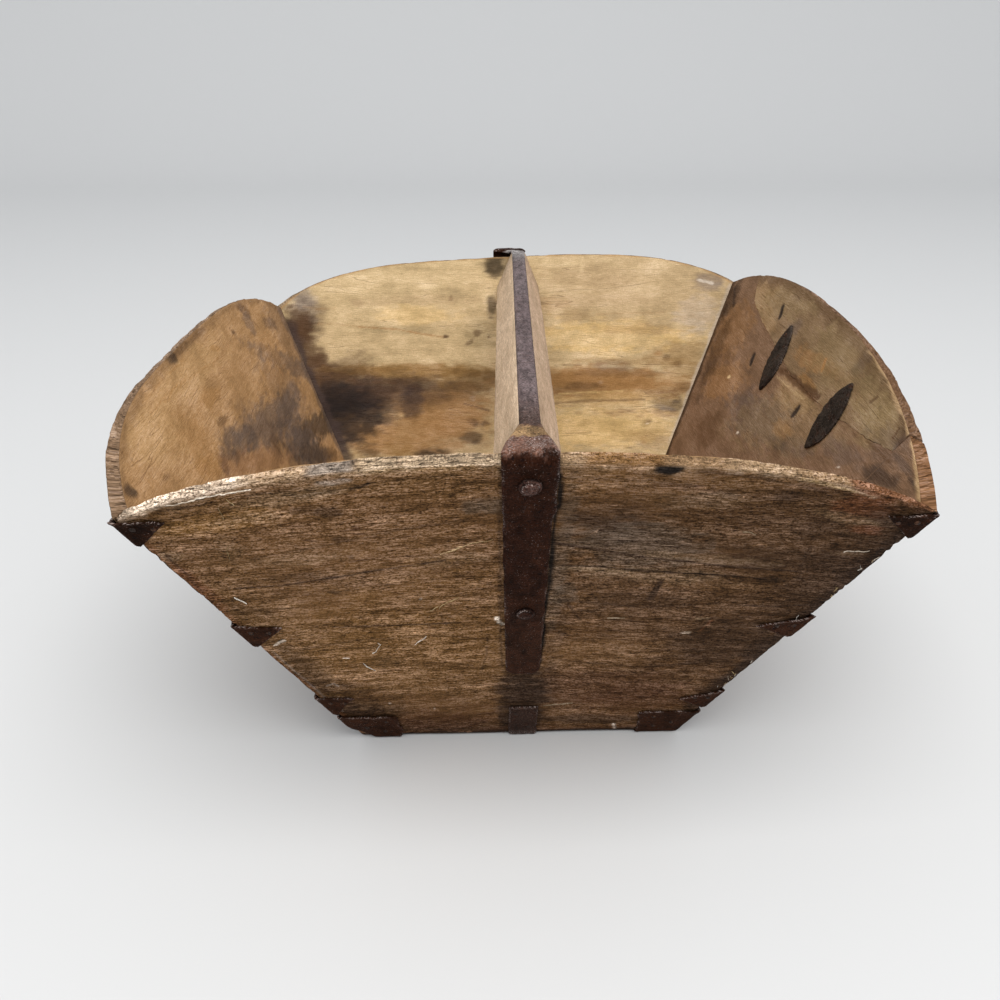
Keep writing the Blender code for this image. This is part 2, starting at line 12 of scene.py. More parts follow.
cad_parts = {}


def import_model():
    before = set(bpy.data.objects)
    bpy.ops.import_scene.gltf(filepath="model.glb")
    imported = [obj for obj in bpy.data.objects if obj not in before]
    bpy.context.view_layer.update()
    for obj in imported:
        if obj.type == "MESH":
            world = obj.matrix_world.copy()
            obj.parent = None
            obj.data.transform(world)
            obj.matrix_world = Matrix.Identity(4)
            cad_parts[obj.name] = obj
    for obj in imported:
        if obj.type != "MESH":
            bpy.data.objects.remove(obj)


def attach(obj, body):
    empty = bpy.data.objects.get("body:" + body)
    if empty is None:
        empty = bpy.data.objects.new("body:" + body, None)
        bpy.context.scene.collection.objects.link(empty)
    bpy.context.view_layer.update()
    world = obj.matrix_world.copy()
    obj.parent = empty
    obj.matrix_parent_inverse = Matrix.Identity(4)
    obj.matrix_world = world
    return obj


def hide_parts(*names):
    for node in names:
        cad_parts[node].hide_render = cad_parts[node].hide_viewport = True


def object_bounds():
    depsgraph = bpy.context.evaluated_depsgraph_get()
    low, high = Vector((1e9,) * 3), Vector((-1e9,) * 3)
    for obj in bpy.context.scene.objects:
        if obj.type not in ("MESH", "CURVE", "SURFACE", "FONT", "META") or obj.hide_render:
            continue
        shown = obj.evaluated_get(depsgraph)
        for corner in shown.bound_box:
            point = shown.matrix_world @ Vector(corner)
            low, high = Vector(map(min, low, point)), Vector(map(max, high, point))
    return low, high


UP = np.array((0.0, 0.0, 1.0))

# The box at its foot and at its rim, and its corners, as in the CAD model
LENGTHS, DEPTHS = (0.211, 0.4), (0.214, 0.41)
RIM_HEIGHT, RIM_DEPTH = 0.215, DEPTHS[1]
CORNER_HEIGHTS = {"front_left": 0.216, "front_right": 0.2127, "back_right": 0.2224, "back_left": 0.206}
BOARD_THICKNESS, SHEET_THICKNESS, STRAP_THICKNESS = 0.0075, 0.0015, 0.0022
WOOD_BOTTOM = 0.0018
GAP = 0.0003
SEAM = GAP / 20


class Side:
    """One leaning side of the box: along it, up its slope and out of it are its directions."""

    def __init__(self, out, across, along, corners, rise, fullness, crown):
        self.out = np.array(out, float)
        self.along = np.cross(UP, self.out)
        self.base_across, self.base_along = across[0] / 2, along[0] / 2
        self.run, self.spread = (across[1] - across[0]) / 2, (along[1] - along[0]) / 2
        self.slope = math.hypot(self.run, RIM_HEIGHT) / RIM_HEIGHT
        self.lean = math.atan2(self.run, RIM_HEIGHT)
        self.up = self.out * math.sin(self.lean) + UP * math.cos(self.lean)
        self.normal = np.cross(self.along, self.up)
        self.next_slope = math.hypot(self.spread, RIM_HEIGHT) / RIM_HEIGHT
        self.corners = [CORNER_HEIGHTS[corner] for corner in corners]
        self.rise, self.fullness, self.crown = rise, fullness, crown

    def across(self, height):
        return self.base_across + self.run * height / RIM_HEIGHT

    def half_along(self, height):
        return self.base_along + self.spread * height / RIM_HEIGHT

    def points(self, along, slant, depth=0):
        along, slant, depth = (v[..., None] for v in np.broadcast_arrays(along, slant, depth))
        foot = self.out * self.base_across + UP * WOOD_BOTTOM
        return foot + along * self.along + slant * self.up - depth * self.normal

    def rim(self, share):
        """Slant height of the arched top edge, at shares from -1 to 1 of the board's length."""
        start, end = self.corners
        chord = start + (end - start) * (share + 1) / 2
        span = np.where(share > self.crown, 1 - self.crown, 1 + self.crown)
        bend = np.abs((share - self.crown) / span) ** self.fullness
        return (chord + self.rise * (1 - bend)) * self.slope


FRONT = Side((0, -1, 0), DEPTHS, LENGTHS, ("front_left", "front_right"), 0.0355, 2.4, 0)
RIGHT = Side((1, 0, 0), LENGTHS, DEPTHS, ("front_right", "back_right"), 0.0358, 2.4, 0)
BACK = Side((0, 1, 0), DEPTHS, LENGTHS, ("back_right", "back_left"), 0.029, 3.5, 0.07)
LEFT = Side((-1, 0, 0), LENGTHS, DEPTHS, ("back_left", "front_left"), 0.0345, 3.3, 0.3)
CORNERS = {
    "front_left": (LEFT, FRONT), "front_right": (FRONT, RIGHT),
    "back_right": (RIGHT, BACK), "back_left": (BACK, LEFT),
}

# Crack across the right end, along the board and up its slope; None is the rim itself
CRACK = (
    (-0.1608, None), (-0.1563, 0.2397), (-0.1251, 0.2344), (-0.0604, 0.2275), (0.0081, 0.2263),
    (0.0564, 0.2325), (0.1048, 0.2378), (0.1391, 0.2447), (0.1502, 0.2542), (0.156, None),
)


# Noise and meshes

def smooth_noise(x, y, seed):
    """Smooth noise from -1 to 1 at arrays of places, the same on each run."""
    x, y = np.broadcast_arrays(np.asarray(x, float), np.asarray(y, float))
    cell_x, cell_y = np.floor(x), np.floor(y)
    part_x, part_y = x - cell_x, y - cell_y
    ease_x = part_x * part_x * (3 - 2 * part_x)
    ease_y = part_y * part_y * (3 - 2 * part_y)
    total = np.zeros(x.shape)
    for step_x in (0, 1):
        for step_y in (0, 1):
            mix = (cell_x + step_x) * 127.1 + (cell_y + step_y) * 311.7 + seed * 74.7
            value = np.sin(mix) * 43758.5453
            weight = (ease_x if step_x else 1 - ease_x) * (ease_y if step_y else 1 - ease_y)
            total += weight * (2 * (value - np.floor(value)) - 1)
    return total


def rugged(x, y, seed):
    """Noise of three sizes, each half as strong as the one before."""
    total, size = 0, 1
    for octave in range(3):
        finer = 2 ** octave
        total = total + smooth_noise(x * finer, y * finer, seed + 17 * octave) * size
        size /= 2
    return total


def blend(low, high, value):
    """A share that eases from 0 at low to 1 at high."""
    share = np.clip((value - low) / (high - low), 0, 1)
    return share * share * (3 - 2 * share)


def bump_at(value, middle, width):
    """A smooth hump of height one round a middle value."""
    return np.exp(-((value - middle) / width) ** 2)


def mesh_object(name, points, faces, material, place=None, paint=None, wear=None, sharp=40):
    """A mesh with what its material reads: its place on the piece, its paint and its wear."""
    mesh = bpy.data.meshes.new(name)
    mesh.from_pydata(np.asarray(points).reshape(-1, 3).tolist(), [], faces)
    for label, values in (("place", place), ("wear", wear)):
        if values is not None:
            layer = mesh.attributes.new(label, "FLOAT_VECTOR", "POINT")
            layer.data.foreach_set("vector", np.asarray(values, np.float32).reshape(-1))
    if paint is not None:
        paint = np.asarray(paint).reshape(-1, 3)
        layer = mesh.attributes.new("paint", "FLOAT_COLOR", "POINT")
        colours = np.ones((len(paint), 4), np.float32)
        colours[:, :3] = paint
        layer.data.foreach_set("color", colours.reshape(-1))
    mesh.materials.append(material)
    mesh.shade_smooth()
    mesh.set_sharp_from_angle(angle=math.radians(sharp))
    mesh.validate()
    return linked(name, mesh)


def linked(name, data):
    obj = bpy.data.objects.new(name, data)
    bpy.context.scene.collection.objects.link(obj)
    return obj


def wear_of(first, second):
    """The two shares of wear that a material reads, kept between 0 and 1; on iron the first also carries
    painted highlights.
    """
    return np.stack([np.clip(first, 0, 1), np.clip(second, 0, 1), np.zeros(first.shape)], -1)


def ring_faces(stations, ring):
    """Faces of a skin through closed rings, and its two ends."""
    faces = []
    for i in range(stations - 1):
        a, b = i * ring, (i + 1) * ring
        faces += [(a + j, a + (j + 1) % ring, b + (j + 1) % ring, b + j) for j in range(ring)]
    faces.append(tuple(range(ring))[::-1])
    faces.append(tuple(range((stations - 1) * ring, stations * ring)))
    return faces


def outward(obj):
    """Turn all faces outwards, for a closed skin whose winding is the same all over."""
    mesh = obj.data
    mesh.calc_loop_triangles()
    points = np.empty(len(mesh.vertices) * 3)
    mesh.vertices.foreach_get("co", points)
    triangles = np.empty(len(mesh.loop_triangles) * 3, int)
    mesh.loop_triangles.foreach_get("vertices", triangles)
    corners = points.reshape(-1, 3)[triangles.reshape(-1, 3)]
    if np.linalg.det(corners - corners.mean((0, 1))).sum() < 0:
        mesh.flip_normals()


def finish_piece(obj, node_name):
    """Close off a piece: faces outwards, fixed to the trug, in the place of its CAD piece."""
    outward(obj)
    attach(obj, "root")
    if node_name:
        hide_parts(node_name)


def ring_piece(name, node_name, slot_name, points, *look, sharp=40):
    """A piece whose skin runs through rings of points; look is its material, place, paint, wear."""
    obj = mesh_object(name, points, ring_faces(*points.shape[:2]), *look, sharp=sharp)
    finish_piece(obj, node_name)


# Paint and marks on a face

OUTER, EDGE, INNER, LOWER = 0, 1, 2, 3


class Stain:
    """A ragged oval on a board's face: a soft stain, bleach or polish, and in some places painted light or
    shadow. Millimetres, degrees.
    """
    depth = 0

    def __init__(self, face, along, slant, half_length, half_width, turn, colour, strength):
        self.face, self.colour, self.strength = face, colour, strength
        self.centre = (along / 1000, slant / 1000)
        self.half = (half_length / 1000, half_width / 1000)
        self.turn = math.radians(turn)

    def share(self, at, seed):
        x, y = at["along"] - self.centre[0], at["slant"] - self.centre[1]
        share = np.zeros(x.shape)
        near = np.flatnonzero(np.hypot(x, y) < 1.8 * max(self.half))
        x, y = x[near], y[near]
        u = (x * math.cos(self.turn) + y * math.sin(self.turn)) / self.half[0]
        v = (y * math.cos(self.turn) - x * math.sin(self.turn)) / self.half[1]
        fray = rugged(at["along"][near] * 130, at["slant"][near] * 330, seed) * 0.35
        share[near] = blend(1.42, 0.66, np.hypot(u, v) + fray) * self.strength
        return share


class Line:
    """A line on a board's face as straight runs between points: a crack, scratch or cut, and in some places
    painted shadow or a painted highlight. Millimetres.
    """

    def __init__(self, face, width, colour, strength, depth, *points):
        self.face, self.colour, self.depth = face, colour, depth / 1000
        self.width, self.points = max(width, 0.9) / 1000, np.reshape(points, (-1, 2)) / 1000
        self.strength = strength * min(1, 0.55 + width / 2)

    def share(self, at, seed):
        along, slant = at["along"], at["slant"]
        nearest = np.full(along.shape, 1.0)
        for (x0, y0), (x1, y1) in zip(self.points, self.points[1:]):
            dx, dy = x1 - x0, y1 - y0
            t = np.clip(((along - x0) * dx + (slant - y0) * dy) / (dx * dx + dy * dy), 0, 1)
            nearest = np.minimum(nearest, np.hypot(along - x0 - t * dx, slant - y0 - t * dy))
        wobble = self.width * (1 + 0.5 * smooth_noise(along * 190, slant * 190, seed))
        return blend(wobble * 0.8, wobble * 0.3, nearest) * self.strength


class Band:
    """A strip along one edge of a board's face, at its rim, its foot, its start or its end: dirt or bleach,
    and in some places painted shade or a painted highlight.
    """
    depth = 0

    def __init__(self, face, edge, reach, colour, strength, first=-300, last=300, fade=10):
        self.face, self.edge, self.reach = face, edge, reach / 1000
        self.colour, self.strength = colour, strength
        self.first, self.last, self.fade = first / 1000, last / 1000, fade / 1000

    def share(self, at, seed):
        run = at["along" if self.edge in ("rim", "foot") else "slant"]
        reach = self.reach * (1 + 0.55 * rugged(at["along"] * 90, at["slant"] * 90, seed))
        begun = blend(self.first - self.fade, self.first, run)
        ended = blend(self.last + self.fade, self.last, run)
        near = blend(reach * 1.25, reach * 0.45, at[self.edge])
        return near * (begun * ended) * self.strength


def paint_face(at, face, base, marks, seed):
    """Colour of each point, and how deep the lines are cut there."""
    colour = np.array(base, float)[face]
    depth = np.zeros(len(face))
    for number, mark in enumerate(marks):
        here = np.flatnonzero(face == mark.face)
        share = mark.share({key: values[here] for key, values in at.items()}, seed + number)
        colour[here] += (np.array(mark.colour) - colour[here]) * np.clip(share, 0, 1)[:, None]
        if mark.depth:
            depth[here] = np.maximum(depth[here], share * mark.depth)
    return colour, depth


# Marks read from the real boards, with painted shade and painted highlights among them

# Colours of the wood, its stains and its wear
BLACK = (0.01, 0.008, 0.007)
INK = (0.028, 0.021, 0.019)
DARK = (0.036, 0.021, 0.013)
RUST = (0.085, 0.04, 0.021)
PURPLE = (0.065, 0.044, 0.038)
UMBER = (0.105, 0.058, 0.032)
TAUPE = (0.085, 0.07, 0.055)
RUSSET = (0.15, 0.065, 0.032)
SMOKE = (0.115, 0.085, 0.072)
BROWN = (0.155, 0.092, 0.052)
RED_WOOD = (0.16, 0.066, 0.033)
GOLDEN = (0.185, 0.108, 0.053)
OCHRE = (0.2, 0.118, 0.055)
MUSTARD = (0.24, 0.138, 0.055)
COPPER = (0.25, 0.135, 0.075)
BURNT = (0.37, 0.205, 0.088)
ASH = (0.2, 0.165, 0.15)
AMBER = (0.3, 0.175, 0.07)
TAN = (0.26, 0.18, 0.11)
OLIVE = (0.3, 0.225, 0.12)
HONEY = (0.42, 0.25, 0.12)
DULL = (0.34, 0.23, 0.125)
PALE = (0.36, 0.27, 0.18)
WARM = (0.47, 0.3, 0.155)
GREY = (0.34, 0.32, 0.3)
STRAW = (0.46, 0.34, 0.18)
FAWN = (0.48, 0.34, 0.2)
MAIZE = (0.74, 0.52, 0.245)
ASHEN = (0.58, 0.48, 0.38)
WHEAT = (0.68, 0.52, 0.31)
CREAM = (0.66, 0.57, 0.47)
WHITE = (0.8, 0.74, 0.66)

# The front's marks are on its outer face, all others on an inner face. Millimetres, degrees.
# Stains: along the board, up its slope, half length, half width, turn, colour, strength.
# Lines: width, colour, strength, depth of the cut, points.
FRONT_STAINS = (
    # Painted light: the broad dark stain 131 mm along and the broad golden one -121 mm along make the front
    # darker over its right half and lighter over its left, as if lit from the left.
    (131, 167, 105, 127, 13, DARK, 0.4), (-82, 85, 72, 59, -2, OCHRE, 0.4),
    (-121, 165, 100, 146, -2, GOLDEN, 0.35), (183, 194, 61, 70, 69, DARK, 0.22),
    (-152, 236, 44, 12, 11, OCHRE, 0.55), (-165, 230, 25, 5.7, 7, MUSTARD, 0.5),
    (-101, 255, 15, 2.7, 8, BLACK, 0.75), (-93, 262, 7.6, 2, 11, GREY, 0.65),
    (-97, 240, 5.7, 4.5, -1, DARK, 0.6), (-107, 242, 7.5, 2.9, -1, DARK, 0.4),
    (-93, 219, 3.9, 2.7, -1, DARK, 0.5), (-23, 243, 8.9, 5.7, -1, TAUPE, 0.55),
    (-83, 184, 50, 13, 12, BROWN, 0.45), (-181, 206, 8.5, 3.4, 12, PALE, 0.3),
    (-169, 170, 14, 4.6, -69, RUSSET, 0.6), (-175, 187, 10, 3.9, -67, RUSSET, 0.45),
    (-149, 151, 17, 7, -29, DARK, 0.5), (-68, 90, 48, 34, 4, GOLDEN, 0.6),
    (-72, 34, 56, 21, -2, RUST, 0.6), (-125, 92, 25, 9, -68, DARK, 0.7),
    (-101, 32, 22, 21, -3, DARK, 0.55), (-81, 97, 7.9, 7.6, -2, TAUPE, 0.5),
    (-47, 10, 41, 8.7, -3, DARK, 0.5), (-150, 209, 6.6, 9.1, -2, TAN, 0.25),
    (-46, 257, 31, 7.7, 2, OCHRE, 0.3), (-51, 163, 29, 10, 7, BROWN, 0.35),
    (-125, 185, 28, 3.3, 9, DARK, 0.35), (-83, 44, 0.8, 1.5, -2, WHITE, 0.9),
    (-57, 164, 0.4, 0.8, -2, WHITE, 0.8), (-55, 36, 0.5, 1.1, -2, WHITE, 0.7),
    (-90, 203, 1.2, 2.1, -2, DARK, 0.6), (-102, 171, 3.1, 1.8, -2, BLACK, 0.5),
    (61, 269, 5.5, 3.1, -1, BLACK, 0.95), (67, 268, 2.6, 1.4, -1, BLACK, 0.8),
    (121, 248, 6.8, 4.7, -1, DARK, 0.6), (38, 223, 19, 12, 4, DARK, 0.5),
    (21, 259, 17, 9.3, -1, GOLDEN, 0.4), (161, 238, 14, 8.9, -13, RED_WOOD, 0.6),
    (173, 230, 10, 8.2, -1, DARK, 0.5), (164, 181, 56, 19, 70, DARK, 0.5),
    (141, 221, 12, 8.5, -1, DARK, 0.35), (115, 114, 27, 28, 38, DARK, 0.5),
    (40, 102, 35, 20, -2, GOLDEN, 0.5), (52, 60, 41, 20, -2, RUST, 0.5),
    (48, 175, 42, 10, -7, BROWN, 0.45), (20, 166, 7, 10, -2, TAUPE, 0.5),
    (166, 155, 1.6, 1.2, 55, WHITE, 0.8), (142, 99, 6.6, 2.2, 63, DARK, 0.9),
    (129, 72, 5, 2.2, 56, BLACK, 0.8), (64, 234, 3, 1.6, -1, BLACK, 0.5),
    (96, 174, 33, 6.3, -7, GOLDEN, 0.35), (82, 245, 20, 5.9, -1, TAUPE, 0.35),
    (48, 17, 38, 6, -3, DARK, 0.6), (114, 192, 21, 4.9, -8, DARK, 0.45),
    (130, 178, 8.4, 2.4, -2, BLACK, 0.35), (35, 190, 21, 2.3, -8, PALE, 0.35),
    (166, 200, 8.1, 2.3, -2, TAN, 0.3), (-130, 92, 25, 8, -69, DARK, 0.85),
    (-122, 72, 15, 6.6, -69, DARK, 0.6), (-109, 64, 21, 6.5, -2, DARK, 0.5),
    (-96, 38, 23, 9.7, -2, DARK, 0.8), (-59, 17, 46, 8.7, -3, RUST, 0.5), (0, 59, 13, 22, -2, DARK, 0.85),
    (-10, 44, 3.2, 38, -2, DARK, 0.8), (16, 59, 7.5, 29, -2, DARK, 0.4),
    (-11, 162, 2.2, 59, -2, DARK, 0.35), (18, 119, 5.2, 33, -2, DARK, 0.4),
    (184, 189, 27, 8.4, 72, DARK, 0.75), (174, 156, 25, 8.8, 72, DARK, 0.55),
    (159, 122, 28, 11, 72, DARK, 0.55), (145, 83, 29, 11, 71, DARK, 0.55),
    (128, 49, 28, 8.3, 71, DARK, 0.5), (189, 214, 11, 6.4, 62, DARK, 0.75),
    (-113, 252, 29, 4.9, 13, TAN, 0.5), (-61, 264, 42, 4.9, 8, OCHRE, 0.6),
    (-149, 234, 22, 6.6, 13, MUSTARD, 0.6), (35, 262, 23, 5.7, -1, OCHRE, 0.4),
    (91, 260, 29, 4.8, -10, OCHRE, 0.35), (55, 210, 31, 18, -8, TAUPE, 0.5),
    (16, 199, 4.6, 62, -2, TAUPE, 0.45), (75, 246, 29, 6.7, -6, OCHRE, 0.3),
    (33, 232, 20, 7.1, -1, DARK, 0.4), (69, 183, 38, 6.4, -7, PALE, 0.22),
    (76, 43, 45, 16, -2, RUST, 0.5), (61, 268, 5.5, 2.9, -1, BLACK, 0.95),
    (66, 270, 2.8, 2.1, -1, BLACK, 0.8), (140, 195, 38, 10, -8, DARK, 0.4),
    (62, 160, 27, 9.9, -2, DARK, 0.3), (45, 107, 29, 10, -2, GOLDEN, 0.4),
    (88, 197, 32, 4.3, -8, TAN, 0.3), (182, 180, 29, 12, 72, BLACK, 0.45),
    (165, 134, 30, 13, 72, BLACK, 0.4), (146, 89, 29, 11, 71, BLACK, 0.4),
    (126, 54, 28, 8.2, 71, BLACK, 0.4), (-40, 200, 20, 5.2, 7, TAN, 0.25),
    (-116, 202, 26, 5.1, 9, TAN, 0.25), (59, 272, 3.2, 3.8, -1, BLACK, 0.95),
    (64, 268, 3.7, 3.1, -1, BLACK, 0.9), (57, 268, 1.8, 2.1, -1, BLACK, 0.7),
    (-57, 122, 63, 66, -2, MUSTARD, 0.28), (-149, 156, 21, 40, -2, OCHRE, 0.3),
    (24, 58, 31, 26, -2, UMBER, 0.3), (183, 194, 28, 15, 72, DARK, 0.4), (2, 38, 13, 47, -2, DARK, 0.9),
    (62, 267, 3.7, 2.5, -1, BLACK, 0.85), (-129, 113, 34, 39, -2, OCHRE, 0.45),
    (-50, 61, 43, 34, -2, OCHRE, 0.3), (-72, 105, 45, 39, -2, MUSTARD, 0.3),
    (157, 229, 16, 3.5, -20, TAN, 0.45), (168, 220, 10, 3, -16, RED_WOOD, 0.5),
    (-139, 236, 15, 3.8, 8, TAN, 0.3),
)
FRONT_LINES = (
    (1.4, BLACK, 0.85, 0.25, -84.5, 257.1, -79.9, 258.2, -75.9, 261.3),
    (1, STRAW, 0.85, 0, -45.1, 204.4, -36.9, 209.2, -30.2, 214.3, -24.8, 215.2, -19.2, 216.9),
    (1.4, STRAW, 0.5, 0, -41, 206.6, -34.9, 211),
    (1.3, DARK, 0.9, 0.3, -154.1, 176, -125.8, 178.9, -82.8, 190, -42.6, 199.2),
    (1.2, DARK, 0.8, 0.2, -107.2, 136.9, -58, 137.6, -36.3, 139.1),
    (0.8, DARK, 0.5, 0.1, -149.7, 154.9, -120.4, 158),
    (0.9, DARK, 0.4, 0.1, -149.7, 105.7, -105.4, 113.4, -59.2, 113.2),
    (1, DARK, 0.5, 0.1, -111.4, 61.4, -53.5, 64.3, -18.7, 57.6),
    (2.1, DARK, 0.6, 0.1, -152.3, 11, -64.7, 6.1, -7.7, 4.3),
    (1.1, WHITE, 0.95, 0, -87.9, 106.9, -84.8, 111.1, -82.1, 116.2, -83.7, 118.9),
    (1.1, WHITE, 0.9, 0, -62.9, 116.4, -59.1, 120.7, -55.2, 125.6),
    (1.1, WHITE, 0.9, 0, -94, 96.4, -92.2, 90.9, -88.2, 85.6),
    (0.9, WHITE, 0.8, 0, -105.9, 102.6, -102, 102.1),
    (1.9, WHITE, 0.95, 0, -16.2, 143.8, -14.3, 138.4, -12.2, 136.6),
    (1.7, WHITE, 0.8, 0, -142.6, 118.3, -139.7, 121.5, -136.6, 123.5),
    (0.8, STRAW, 0.8, 0, -47.7, 153.9, -42.4, 160.4, -36.2, 164.7),
    (0.8, DARK, 0.6, 0, -47.8, 151.7, -45.9, 142, -43.1, 134.2),
    (0.9, DARK, 0.55, 0, -21.2, 125.9, -21.5, 104.2, -25, 81.8),
    (0.8, WHITE, 0.6, 0, -155, 168.3, -150.5, 162.4), (0.6, STRAW, 0.7, 0, -142.8, 250.7, -139.9, 245.7),
    (0.5, STRAW, 0.5, 0, -147.8, 244.8, -146.9, 235.6), (0.7, STRAW, 0.45, 0, -149.8, 214, -151.5, 202.6),
    (0.8, STRAW, 0.7, 0, -52.9, 151.9, -48, 155.8),
    (1.2, BLACK, 0.8, 0, -150.9, 116.5, -142.3, 94.4, -127.1, 67.3),
    (1.2, GREY, 0.6, 0, -119.6, 68.7, -115.2, 71.2, -112.7, 67.7),
    (1.5, DARK, 0.95, 0.35, 11.4, 213, 36.6, 205.8, 61.2, 198.3, 88.8, 192.8, 108.5, 188.7, 142.3, 184),
    (1.4, DARK, 0.95, 0.3, 16.5, 193.4, 38, 191.6, 62.8, 186.2, 87.7, 183.4, 110.2, 180.3, 126, 177.5),
    (1.2, DARK, 0.9, 0.25, 117.4, 152.2, 139.3, 150.4, 165.1, 151.2),
    (3, DARK, 0.85, 0, 71, 176.9, 67.3, 160.7),
    (2.8, DARK, 0.5, 0, 143, 205.2, 143.2, 186.8, 144.5, 177.2),
    (1, DARK, 0.7, 0, 38.1, 211.9, 38.3, 202.1), (1, PALE, 0.7, 0, 105.9, 220.3, 112.4, 217.2),
    (0.7, CREAM, 0.8, 0, 161.8, 201.8, 174.4, 202.1), (1.7, CREAM, 0.75, 0, 91.1, 124.1, 94.6, 124),
    (1.4, PALE, 0.7, 0, 96.7, 139.2, 102.5, 139.3), (0.8, PALE, 0.4, 0, 45.6, 141.7, 55.8, 141.3),
    (0.8, DARK, 0.5, 0, 20.3, 130.1, 35.1, 128.2), (0.8, DARK, 0.45, 0, 34.7, 168, 39.9, 156.4),
    (0.5, DARK, 0.4, 0, 31.5, 240.6, 63.1, 240.5), (0.7, DARK, 0.2, 0, 137.8, 119, 128.9, 56.6, 114, 29),
    (1.1, BLACK, 0.8, 0, 180.7, 205.3, 174.7, 185.9, 172.4, 172.7),
    # Painted highlight: this straw line just under the rim is light caught by the top edge.
    (1.3, STRAW, 0.5, 0, 122.8, 260.7, 140.1, 255.1, 154, 249.6),
    (0.8, BLACK, 0.6, 0.2, 134.5, 257.6, 148.5, 255.5), (0.7, DARK, 0.4, 0, 95.2, 202, 125.7, 196.6),
    (1, PALE, 0.4, 0, 34.1, 39.7, 22.6, 38.4, 14.5, 36.2), (1.6, WHITE, 0.7, 0, 63.1, 8.8, 64.7, 1.7),
    # Painted shadow along the handle strap's leg: this black line at its right edge, also cut 0.4 mm deep,
    # and the dark line after it at its left edge.
    (2.4, BLACK, 0.97, 0.4, 9.8, 274.7, 12.4, 258.5, 13, 243.6, 10.9, 235.2, 11.1, 215.8, 11.6, 189.7,
    11.5, 171, 10.3, 161.3, 10.9, 119.3, 9.6, 90),
    (1.5, DARK, 0.6, 0, -15.7, 269.7, -14.9, 199.4, -13.6, 120.2, -12.3, 87.5),
    (1.3, DARK, 0.75, 0, -181.5, 207.3, -176.1, 190.5, -170.8, 168.8, -163.7, 144.6),
    (1.4, GREY, 0.3, 0, -145.3, 111.3, -133.6, 82.3, -123.8, 56.4, -114, 34.2),
    (2, BLACK, 0.8, 0.5, 186.5, 201, 175, 170, 168.9, 153.4),
    (2, BLACK, 0.75, 0.4, 155.2, 114.3, 142.9, 76.6, 131.3, 51.2),
    (1, RUSSET, 0.8, 0, 100.4, 126.2, 105.3, 136.8), (1.2, DARK, 0.7, 0, 22.7, 157, 30.5, 140.3),
    (1.1, BLACK, 0.6, 0, 28.6, 150.7, 38.3, 147.3),
    # Painted highlight: these two pale lines along the rim, from 11 to 164 mm along, are light caught by
    # the rounded top edge.
    (1.2, PALE, 0.4, 0, 92.2, 272.4, 117.5, 266.3, 142.8, 255.7, 164.3, 244.8),
    (1.2, PALE, 0.55, 0, 11.1, 276.7, 47.1, 276, 90.8, 272.4),
    (1.2, DARK, 0.6, 0, 75.9, 266.5, 104.7, 261.6, 138.5, 250.7),
    (1.3, DARK, 0.4, 0, -29.7, 233, -63.9, 225.9, -99.2, 214.5, -140.7, 202.8),
    (1.6, DARK, 0.4, 0, -19.6, 120.4, -53.7, 126, -93.6, 122.9, -129, 113),
    (1.5, DARK, 0.5, 0, 18.1, 161.1, 62.7, 151.7, 106.5, 154.4),
    (1.7, DARK, 0.4, 0, 22, 95.8, 71.2, 84.3, 101, 88.1),
    (3.5, WHITE, 0.85, 0, -193.7, 241.6, -184.8, 245.2, -177.6, 248, -172.1, 249.4),
    (1.1, CREAM, 0.7, 0, -172, 246.4, -159.4, 250.6, -144.7, 254.6, -130.4, 258),
    (1.2, DARK, 0.6, 0, -175.3, 242.7, -163, 245.4, -149.7, 248.8),
    (1.1, DARK, 0.45, 0, -140.9, 250.9, -125.4, 254.9, -107.5, 258.2),
    (1.1, DARK, 0.35, 0, -94.1, 255.7, -74.3, 261.1, -52.1, 264.9, -29.3, 267.2),
    (1.2, DARK, 0.35, 0, 21.1, 263.3, 53.8, 259.8, 77.8, 255.7),
)
